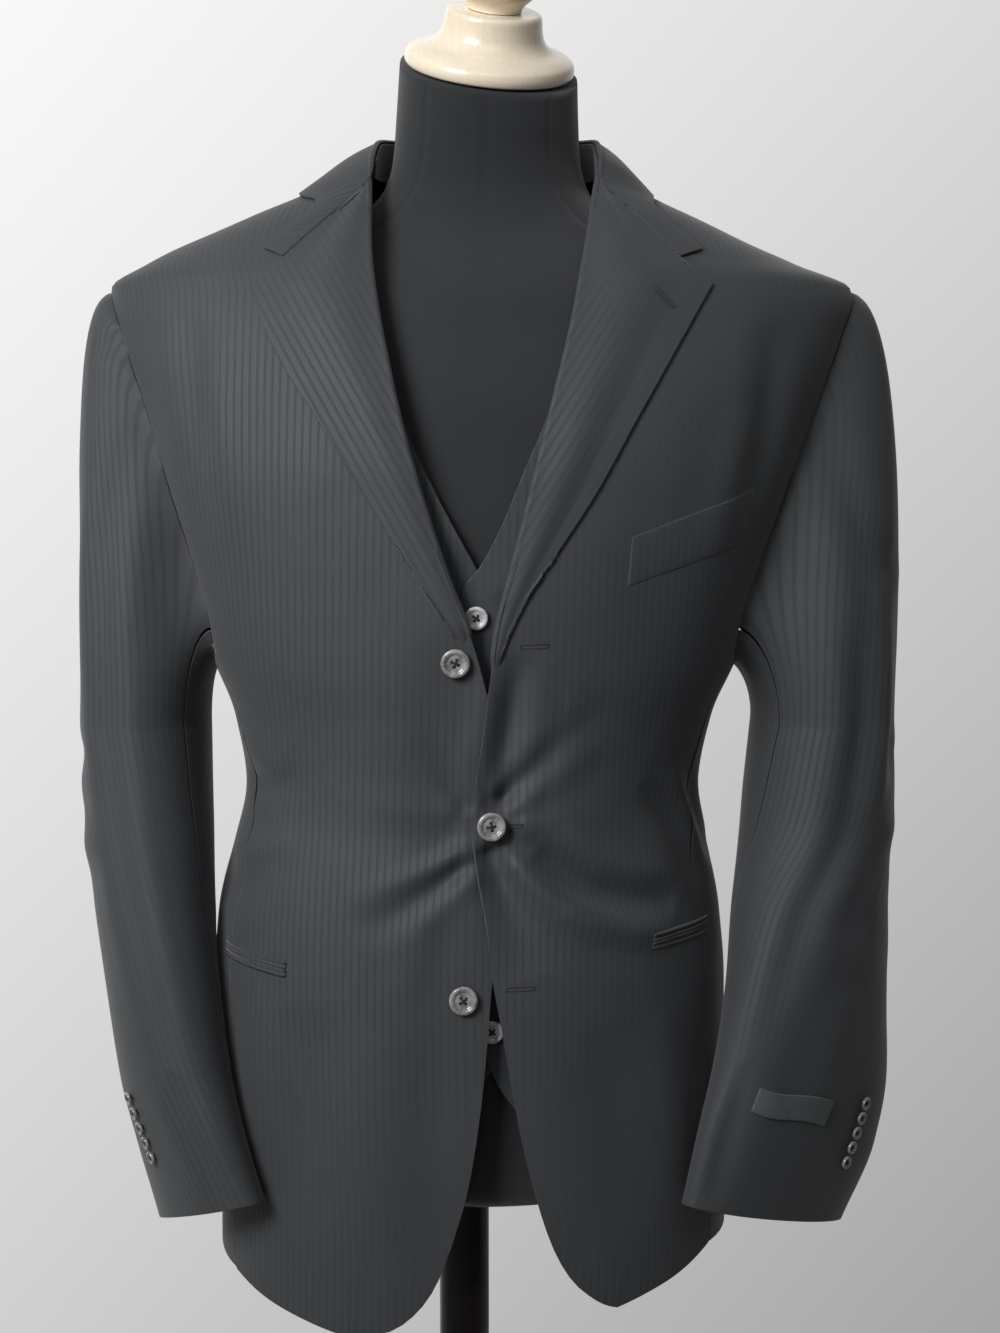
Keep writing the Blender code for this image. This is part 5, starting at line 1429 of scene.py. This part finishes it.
def button_blank(size, holes, finish, cotton):
    """A four-hole button with its threads and shank, its underside at height 0."""
    diameter, thickness = size
    hole_radius, away = holes
    profile = [(r * diameter / 2, h * thickness) for r, h in BUTTON_PROFILE]
    spots = [Vector((away * a, away * b, 0.0)) for a, b in ((1, 1), (-1, 1), (-1, -1), (1, -1))]
    drill_mesh = bmesh.new()
    for spot in spots:
        bmesh.ops.create_cone(drill_mesh, cap_ends=True, segments=HOLE_SIDES, radius1=hole_radius,
                              radius2=hole_radius, depth=4 * thickness, matrix=Matrix.Translation(spot))
    disc, drill = [placed("blank", mesh_data("blank", mesh))
                   for mesh in (turned(profile, BUTTON_SIDES, BUTTON_STEPS), drill_mesh)]
    bore = disc.modifiers.new("holes", "BOOLEAN")
    bore.object, bore.operation, bore.solver = drill, "DIFFERENCE", "EXACT"
    drilled = bmesh.new()
    drilled.from_object(disc, bpy.context.evaluated_depsgraph_get())
    for obj in (disc, drill):
        bpy.data.objects.remove(obj, do_unlink=True)
    well = BUTTON_PROFILE[0][1] * thickness
    for a, b in ((spots[0], spots[2]), (spots[1], spots[3])):
        beside = (b - a).cross(Vector((0, 0, 1))).normalized() * STRAND
        for shift in (beside, -beside):
            points = []
            for t in spread(*STRAND_BIGHT, 11):
                rise = well + STRAND + STRAND_PROUD - STRAND_DIP * max(abs(t - 0.5) - DIP_FROM, 0.0)
                points.append(mix(a, b, t) + shift + Vector((0, 0, rise)))
            tube(drilled, points, STRAND)
    top_out, foot_out = SHANK_SPREAD
    for k in range(4):
        angle = math.pi / 4 + k * math.pi / 2
        out = Vector((away * math.cos(angle), away * math.sin(angle), 0.0))
        points = [out * mix(top_out, foot_out, t) + Vector((0, 0, mix(0.4 * thickness, -SHANK, t)))
                  for t in spread(0.0, 1.0, 4)]
        tube(drilled, points, SHANK_THREAD * STRAND)
    data = mesh_data("button", drilled, finish, cotton)
    data.shade_smooth()
    data.set_sharp_from_angle(angle=SHARP_ANGLE)
    return data


def sew(name, blank, place, normal, spin):
    """One button on the cloth, standing on its threads."""
    obj = placed(name + "_sewn", blank)
    turn = normal.to_track_quat("Z", "Y").to_matrix().to_4x4() @ Matrix.Rotation(math.radians(spin), 4, "Z")
    obj.matrix_world = Matrix.Translation(lean(place) + normal * SHANK) @ turn
    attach(obj, "root")
    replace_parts(obj, name)
    return obj


STITCH = 0.00050            # from one stitch of a buttonhole to the next
HOLE_WIDTH = 0.00125        # half of a buttonhole's width
STITCH_SIZES = (0.62, 0.92) # in turn, as a share of a stitch
STITCH_SIDES = 6
STITCH_RISE = (0.55, 0.9)   # its middle off the cloth, and its half height, in its sizes
HOLE_STRAIGHT, HOLE_SQUARE = 1.25, 0.45     # how straight its sides run, and how square its ends


def stitched_hole(name, place_at, start, end, finish):
    """A buttonhole: a close ring of stitches round a slit, on a surface read by (x, z)."""
    mesh, rings = bmesh.new(), []
    (ax, az), (bx, bz) = start, end
    length = math.hypot(bx - ax, bz - az)
    along, across = ((bx - ax) / length, (bz - az) / length), (-(bz - az) / length, (bx - ax) / length)
    count = int(2 * (length + math.pi * HOLE_WIDTH) / STITCH)
    for i in range(count):
        turn = 2 * math.pi * i / count
        u = length / 2 * math.cos(turn)
        u = math.copysign(min(abs(u) * HOLE_STRAIGHT, length / 2), u)
        v = HOLE_WIDTH * math.sin(turn)
        v = math.copysign(abs(v / HOLE_WIDTH) ** HOLE_SQUARE * HOLE_WIDTH, v) if v else 0.0
        size = STITCH * STITCH_SIZES[i % 2]
        ring = []
        for k in range(STITCH_SIDES):
            out = size * math.cos(2 * math.pi * k / STITCH_SIDES)
            rise = size * (STITCH_RISE[0] + STITCH_RISE[1] * math.sin(2 * math.pi * k / STITCH_SIDES))
            on, off = u + out * u / length, v * (1.0 + out / HOLE_WIDTH)
            x = (ax + bx) / 2 + along[0] * on + across[0] * off
            z = (az + bz) / 2 + along[1] * on + across[1] * off
            ring.append(mesh.verts.new(lean(place_at(x, z, rise))))
        rings.append(ring)
    join(mesh, rings + rings[:1])
    return add(name, mesh, finish)


# ---- dress form and stand ---------------------------------------------------------------
NECK_TOP = FORM[-1].z
TILT_FROM = 1.490           # the neck starts to slope here
FORM_RINGS, FORM_SIDES = 170, 160
GROOVE = (0.0013, 0.0009)   # half width and depth of a seam in the jersey
FORM_SEAMS = (0.0, 38.0, 90.0, 142.0, 180.0)
NECK_SEAM = 1.487
CAP_SEAT = 0.0008           # the cap stands off the neck's top by this much
SHARP_ANGLE = math.radians(40)          # edges turned more than this stay crisp
TURNED_SIDES, TURNED_STEPS = 96, 5      # round a turned piece, and between two points of its profile
CAP_PROFILE = [             # shares of the cap's radius and height, from the top down
    (0.00, 1.00), (0.50, 1.00), (0.535, 0.985), (0.56, 0.93), (0.575, 0.78), (0.60, 0.62), (0.65, 0.50),
    (0.72, 0.42), (0.90, 0.32), (0.985, 0.22), (1.00, 0.12), (0.985, 0.03), (0.94, 0.0), (0.00, 0.0),
]
KNOB_PROFILE = [
    (0.00, 1.00), (0.22, 0.995), (0.40, 0.98), (0.72, 0.90), (0.95, 0.70), (1.00, 0.50),
    (0.93, 0.28), (0.72, 0.12), (0.66, 0.04), (0.65, 0.0), (0.00, 0.0),
]
BASE_PROFILE = [            # hub, its foot, the plate's slope, the round rim, the underside
    (0.0, BASE_HEIGHT), (BASE_HUB_RADIUS - 0.0034, BASE_HEIGHT), (BASE_HUB_RADIUS, BASE_HEIGHT - 0.003),
    (BASE_HUB_RADIUS, 0.022), (BASE_HUB_RADIUS + 0.012, BASE_THICKNESS + 0.005),
    (BASE_RADIUS - 0.010, BASE_THICKNESS), (BASE_RADIUS - 0.002, BASE_THICKNESS - 0.002),
    (BASE_RADIUS, BASE_THICKNESS / 2), (BASE_RADIUS - 0.001, 0.0), (0.0, 0.0),
]


def neck_slope(x, y):
    return y * math.tan(math.radians(NECK_TILT)) - x * math.tan(math.radians(NECK_ROLL))


def groove(away):
    width, depth = GROOVE
    return -depth * math.exp(-(away / width) ** 2)


def form_torso():
    mesh = bmesh.new()
    layer = mesh.loops.layers.uv.new("grain")
    turns = [turn - 360.0 if turn > 180.0 else turn for turn in spread(0.0, 360.0, FORM_SIDES + 1)[:-1]]
    rings, place = [], {}
    for z in spread(FORM[0].z, NECK_TOP, FORM_RINGS):
        ring = []
        for turn in turns:
            round_ = form_lay(z, turn)
            off_seams = [abs(round_) - form_lay(z, seam) for seam in FORM_SEAMS] + [z - NECK_SEAM]
            point = form.out(z, turn, max(sum(groove(off) for off in off_seams), -GROOVE[1]))
            point.z += neck_slope(point.x, point.y) * smooth(TILT_FROM, NECK_TOP, z)
            ring.append(mesh.verts.new(lean(point)))
            place[ring[-1]] = (round_, z)
        rings.append(ring)
    join(mesh, rings)
    mesh.faces.new(list(reversed(rings[0])))
    mesh.faces.new(rings[-1])
    for face in mesh.faces:
        for loop in face.loops:
            loop[layer].uv = place[loop.vert]
    return add("torso_jersey", mesh, jersey)


def add_turned(name, profile, finish, matrix=None):
    mesh = turned(profile, TURNED_SIDES, TURNED_STEPS)
    if matrix:
        mesh.transform(matrix)
    obj = add(name, mesh, finish)
    obj.data.set_sharp_from_angle(angle=SHARP_ANGLE)
    return obj


def neck_fittings():
    axis = Vector((math.tan(math.radians(NECK_ROLL)), -math.tan(math.radians(NECK_TILT)), 1.0)).normalized()
    foot = lean(Vector((0.0, (form.back(NECK_TOP) - form.front(NECK_TOP)) / 2, NECK_TOP)))
    twist = axis.to_track_quat("Z", "Y").to_matrix().to_4x4()
    for name, node, profile, size, rise in (
            ("neck_cap_maple", "form_neck_cap", CAP_PROFILE, (CAP_RADIUS, CAP_HEIGHT), CAP_SEAT),
            ("cap_knob_maple", "form_cap_knob", KNOB_PROFILE, (KNOB_RADIUS, KNOB_HEIGHT),
             CAP_SEAT + CAP_HEIGHT + LAY)):
        full = [(r * size[0], h * size[1]) for r, h in profile]
        obj = add_turned(name, full, maple, Matrix.Translation(foot + axis * rise) @ twist)
        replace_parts(obj, node)


def stand():
    low, high = BASE_HEIGHT + LAY, FORM[0].z - LAY
    pole_profile = [(0.0, high), (POLE_RADIUS, high), (POLE_RADIUS, low), (0.0, low)]
    pole = add_turned("pole_enamel", pole_profile, stand_enamel)
    base = add_turned("base_enamel", BASE_PROFILE, stand_enamel)
    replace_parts(pole, "stand_pole")
    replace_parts(base, "stand_base")


# ---- the room ---------------------------------------------------------------------------
FLOOR_RADIUS, FLOOR_SIDES = 1.25, 128
FLOOR_RIM = [(0.0, 0.0002), (0.004, 0.0014), (0.0052, 0.006), (0.0052, 0.020)]    # rounded: (out, down)
FLOOR_COLOUR, FLOOR_CLOUDS = (0.600, 0.600, 0.592), 20.0


def floor():
    """A round pale floor under the stand."""
    mesh = bmesh.new()
    rings = [circle(mesh, FLOOR_SIDES, FLOOR_RADIUS + out, -down) for out, down in FLOOR_RIM]
    mesh.faces.new(rings[0])
    for high, low in zip(rings, rings[1:]):
        for i in range(FLOOR_SIDES):
            j = (i + 1) % FLOOR_SIDES
            mesh.faces.new((high[j], high[i], low[i], low[j]))
    finish = plain("pale_floor", FLOOR_COLOUR, FLOOR_CLOUDS)
    placed("floor", mesh_data("floor", mesh, finish))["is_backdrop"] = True


# the room's light by direction: level straight ahead, its change upward, its change across
ROOM_LIGHT, ROOM_RISE, ROOM_ACROSS = 0.145, 0.115, -0.110
ROOM_LEAST = 0.02
SIDES_LIGHT, SIDES_REACH = 0.16, (-0.30, 0.20)      # more light from level with the garment and behind it
WALL_LIGHT, WALL_RISE, WALL_ACROSS = 0.705, 0.485, -0.495   # the same three of the pale wall behind
WALL_REACH = (0.40, 0.86)   # cosines of the angles off straight back between which the wall fades out
SKY_COLOUR = (1.0, 1.0, 0.995, 1.0)
LAMP_SPREAD = math.radians(62.0)        # soft boxes whose light is gathered forward
LAMPS = table(
    "name place aim size power",
    ("key", (-1.00, -1.30, 2.00), (-0.08, 0.0, 1.17), 0.8, 4.9),
    ("fill", (0.20, -1.50, 2.30), (0.08, 0.0, 1.40), 1.0, 0.5),
)


def lights():
    for lamp in LAMPS:
        data = bpy.data.lights.new(lamp.name, "AREA")
        data.energy, data.size, data.spread = lamp.power, lamp.size, LAMP_SPREAD
        obj = placed(lamp.name, data)
        obj.location = lamp.place
        obj.rotation_euler = (Vector(lamp.aim) - Vector(lamp.place)).to_track_quat("-Z", "Y").to_euler()
    world = bpy.data.worlds.new("room_light")
    bpy.context.scene.world = world
    world.use_nodes = True
    g = Nodes(world.node_tree)
    toward = g.node("ShaderNodeTexCoord").outputs["Generated"]
    right, back, up = g.node("ShaderNodeSeparateXYZ", {0: toward}).outputs
    wall = g.line(right, WALL_ACROSS, g.line(up, WALL_RISE, WALL_LIGHT))
    room = g.line(g.between(back, *SIDES_REACH), SIDES_LIGHT, g.line(up, ROOM_RISE, ROOM_LIGHT))
    room = g.line(right, ROOM_ACROSS, room)
    lit = g.times(g.between(back, *WALL_REACH), g.math("SUBTRACT", wall, room))
    sky = world.node_tree.nodes["Background"]
    g.set(sky.inputs["Strength"], g.math("MAXIMUM", g.plus(lit, room), ROOM_LEAST))
    g.set(sky.inputs["Color"], SKY_COLOUR)


CAMERA_PLACE = (0.0265, -1.300, 1.277)
CAMERA_DIP = math.atan(0.0973)          # it looks down by a little
CAMERA_LENS, CAMERA_GATE = 48.99, 36.0  # focal length and height of the frame, in millimetres


def camera():
    data = bpy.data.cameras.new("camera")
    data.sensor_fit, data.sensor_height, data.lens = "VERTICAL", CAMERA_GATE, CAMERA_LENS
    obj = placed("camera", data)
    obj.location = CAMERA_PLACE
    obj.rotation_euler = (math.pi / 2 - CAMERA_DIP, 0.0, 0.0)
    bpy.context.scene.camera = obj


# ---- build ------------------------------------------------------------------------------
suiting, lining, jersey = wool(), satin(), jersey_knit()
maple, stand_enamel, ribbon = lacquered_maple(), enamel(), woven_ribbon()
smoke_pearl, silver_pearl = pearl("grey_pearl", *SMOKE_PEARL), pearl("silver_pearl", *SILVER_PEARL)
dark_cotton, grey_cotton = thread("dark_thread", THREAD_DARK), thread("grey_thread", THREAD_GREY)
wool_both = (suiting, suiting)

left_sleeve = Sleeve(+1, LEFT_SLEEVE, LEFT_SLEEVE_CREASES)
right_sleeve = Sleeve(-1, RIGHT_SLEEVE, RIGHT_SLEEVE_CREASES)
low_walk, high_walk = UNDER_SLEEVE
over_walks = UPPER_ARM.across(high_walk + SLEEVE_SEAM - 360.0, low_walk - SLEEVE_SEAM)
under_walks = UNDER_ARM.across(low_walk + SLEEVE_SEAM, high_walk - SLEEVE_SEAM)

# what is sewn on the big pieces
welt = patch("breast_welt", +1, WELT, WELT_POINTS, FACING, wool_both, POCKET_SUNK, WELT_PUFF)
strip = patch("lining_hem", -1, LINING_STRIP, STRIP_POINTS, LINING, (lining, lining),
              out=-CLOTH - LINING_INSIDE - LINING)
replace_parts(welt, "jacket_breast_welt")
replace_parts(strip, "jacket_lining_hem_R")
jets = {+1: [], -1: []}
for side in (+1, -1):
    for level in ("upper", "lower"):
        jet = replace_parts(hip_jet(side, level), f"jacket_hip_jet_{level}_{LETTER[side]}")
        jets[side].append(jet)
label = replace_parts(sleeve_label(), "sleeve_label")

BUTTONHOLES = table(        # inner and outer (x, z) end on the wearer's left front
    "name start end",
    ("top", (0.0300, 1.1770), (0.0480, 1.1776)),
    ("middle", (0.0150, 1.0590), (0.0340, 1.0598)),
    ("bottom", (0.0270, 0.9536), (0.0455, 0.9542)),
)
LAPEL_HOLE = ((0.1054, 1.4128), (0.1233, 1.3950))
LAPEL_HOLE_OFF = LAPEL_LIE + LAPEL_ROLL * 0.55      # the lapel's face there, off the front
holes = [stitched_hole(f"buttonhole_{hole.name}", lambda x, z, d: on_front(+1, x, z, d),
                       hole.start, hole.end, grey_cotton) for hole in BUTTONHOLES]
lapel_hole = stitched_hole("buttonhole_lapel", lambda x, z, d: on_front(+1, x, z, LAPEL_HOLE_OFF + d),
                           *LAPEL_HOLE, grey_cotton)

# the big pieces
for side, front_edge, lapel_edge, waistcoat_edge, sleeve in (
        (+1, LEFT_FRONT_EDGE, LEFT_LAPEL_EDGE, LEFT_WAISTCOAT_EDGE, left_sleeve),
        (-1, RIGHT_FRONT_EDGE, RIGHT_LAPEL_EDGE, RIGHT_WAISTCOAT_EDGE, right_sleeve)):
    letter = LETTER[side]
    jacket_front(f"front_{letter}", side, front_edge)
    jacket_side(f"side_{letter}", side, FRONT_HEM[side], BACK_HEM[side])
    jacket_back(f"back_{letter}", side, BACK_HEM[side])
    lapel(f"lapel_{letter}", side, front_edge, lapel_edge, LAPEL_FOOT[side])
    sleeve.panel(f"upper_sleeve_{letter}", over_walks)
    sleeve.panel(f"under_sleeve_{letter}", under_walks)
    waistcoat_front(f"vest_front_{letter}", side, waistcoat_edge)
collar()
collar_stand()
waistcoat_back()

CUTS = table(               # the node each piece stands for, and the size it is cut to
    "piece node width length area",
    ("front_L", "jacket_front_L", 0.265, 0.765, 0.1450),
    ("front_R", "jacket_front_R", 0.285, 0.780, 0.1600),
    ("side_L", "jacket_side_L", 0.145, 0.445, 0.0600),
    ("side_R", "jacket_side_R", 0.145, 0.445, 0.0610),
    ("back_L", "jacket_back_L", 0.255, 0.760, 0.1660),
    ("back_R", "jacket_back_R", 0.255, 0.760, 0.1660),
    ("lapel_L", "jacket_lapel_L", 0.105, 0.345, 0.0195),
    ("lapel_R", "jacket_lapel_R", 0.105, 0.325, 0.0182),
    ("collar_leaf", "jacket_collar", 0.500, 0.055, 0.0220),
    ("collar_band", "jacket_collar_stand", 0.360, 0.032, 0.0085),
    ("upper_sleeve_L", "jacket_upper_sleeve_L", 0.330, 0.690, 0.1660),
    ("under_sleeve_L", "jacket_under_sleeve_L", 0.120, 0.480, 0.0470),
    ("upper_sleeve_R", "jacket_upper_sleeve_R", 0.300, 0.680, 0.1480),
    ("under_sleeve_R", "jacket_under_sleeve_R", 0.110, 0.470, 0.0410),
    ("vest_front_L", "waistcoat_front_L", 0.235, 0.600, 0.1020),
    ("vest_front_R", "waistcoat_front_R", 0.250, 0.600, 0.1080),
    ("waistcoat_back_cloth", "waistcoat_back", 0.470, 0.570, 0.2050),
)
SEWN_ON = {
    "front_L": [welt, *jets[+1], *holes],
    "front_R": [strip, *jets[-1]],
    "lapel_L": [lapel_hole],
    "upper_sleeve_L": [label],
}
for row in CUTS:
    obj = bpy.data.objects[row.piece]
    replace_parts(obj, row.node)
    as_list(SEWN_ON.get(row.piece, []))

# buttons: (radius of a hole, how far across and up it lies from the middle), and (first, step) of their spin
jacket_blank = button_blank(JACKET_BUTTON, (0.0010, 0.0017), smoke_pearl, dark_cotton)
waistcoat_blank = button_blank(WAISTCOAT_BUTTON, (0.0009, 0.0015), silver_pearl, dark_cotton)
cuff_blank = button_blank(CUFF_BUTTON, (0.0006, 0.0010), smoke_pearl, dark_cotton)
JACKET_SPIN, WAISTCOAT_SPIN, CUFF_SPIN = (23.0, 31.0), (8.0, 17.0), (0.0, 14.0)
JACKET_BUTTONS = table(
    "name side x z",
    ("top", -1, -0.0111, 1.1664),
    ("middle", +1, 0.0145, 1.0593),
    ("bottom", -1, -0.0010, 0.9464),
)


def spin(first_step, i):
    return first_step[0] + first_step[1] * i


for i, (name, side, x, z) in enumerate(JACKET_BUTTONS):
    sew(f"jacket_button_{name}", jacket_blank, on_front(side, x, z, 0.0),
                jacket.normal(z, jacket.turn_of(z, x)), spin(JACKET_SPIN, i))
for i in range(WAISTCOAT_BUTTONS):
    z = WAISTCOAT_TOP_BUTTON - i * WAISTCOAT_BUTTON_STEP
    turn = waistcoat.turn_of(z, mix(*WAISTCOAT_BUTTON_X, i / (WAISTCOAT_BUTTONS - 1)))
    sew(f"waistcoat_button_{i + 1}", waistcoat_blank, waistcoat_at(z, turn),
                waistcoat.normal(z, turn), spin(WAISTCOAT_SPIN, i))
for sleeve in (left_sleeve, right_sleeve):
    for i in range(CUFF_BUTTONS):
        z = sleeve.cuff + CUFF_BUTTON_FOOT + (CUFF_BUTTONS - 1 - i) * CUFF_BUTTON_STEP
        place, normal = sleeve.out(z, CUFF_BUTTON_WALK[sleeve.side], 0.0)
        sew(f"cuff_button_{LETTER[sleeve.side]}_{i + 1}", cuff_blank, place, normal,
                    spin(CUFF_SPIN, i))

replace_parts(form_torso(), "form_torso")
neck_fittings()
stand()
floor()
lights()
camera()
bpy.context.scene.view_settings.view_transform = "Standard"

[[list(corner) for corner in box] for box in (cad_box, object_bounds())]
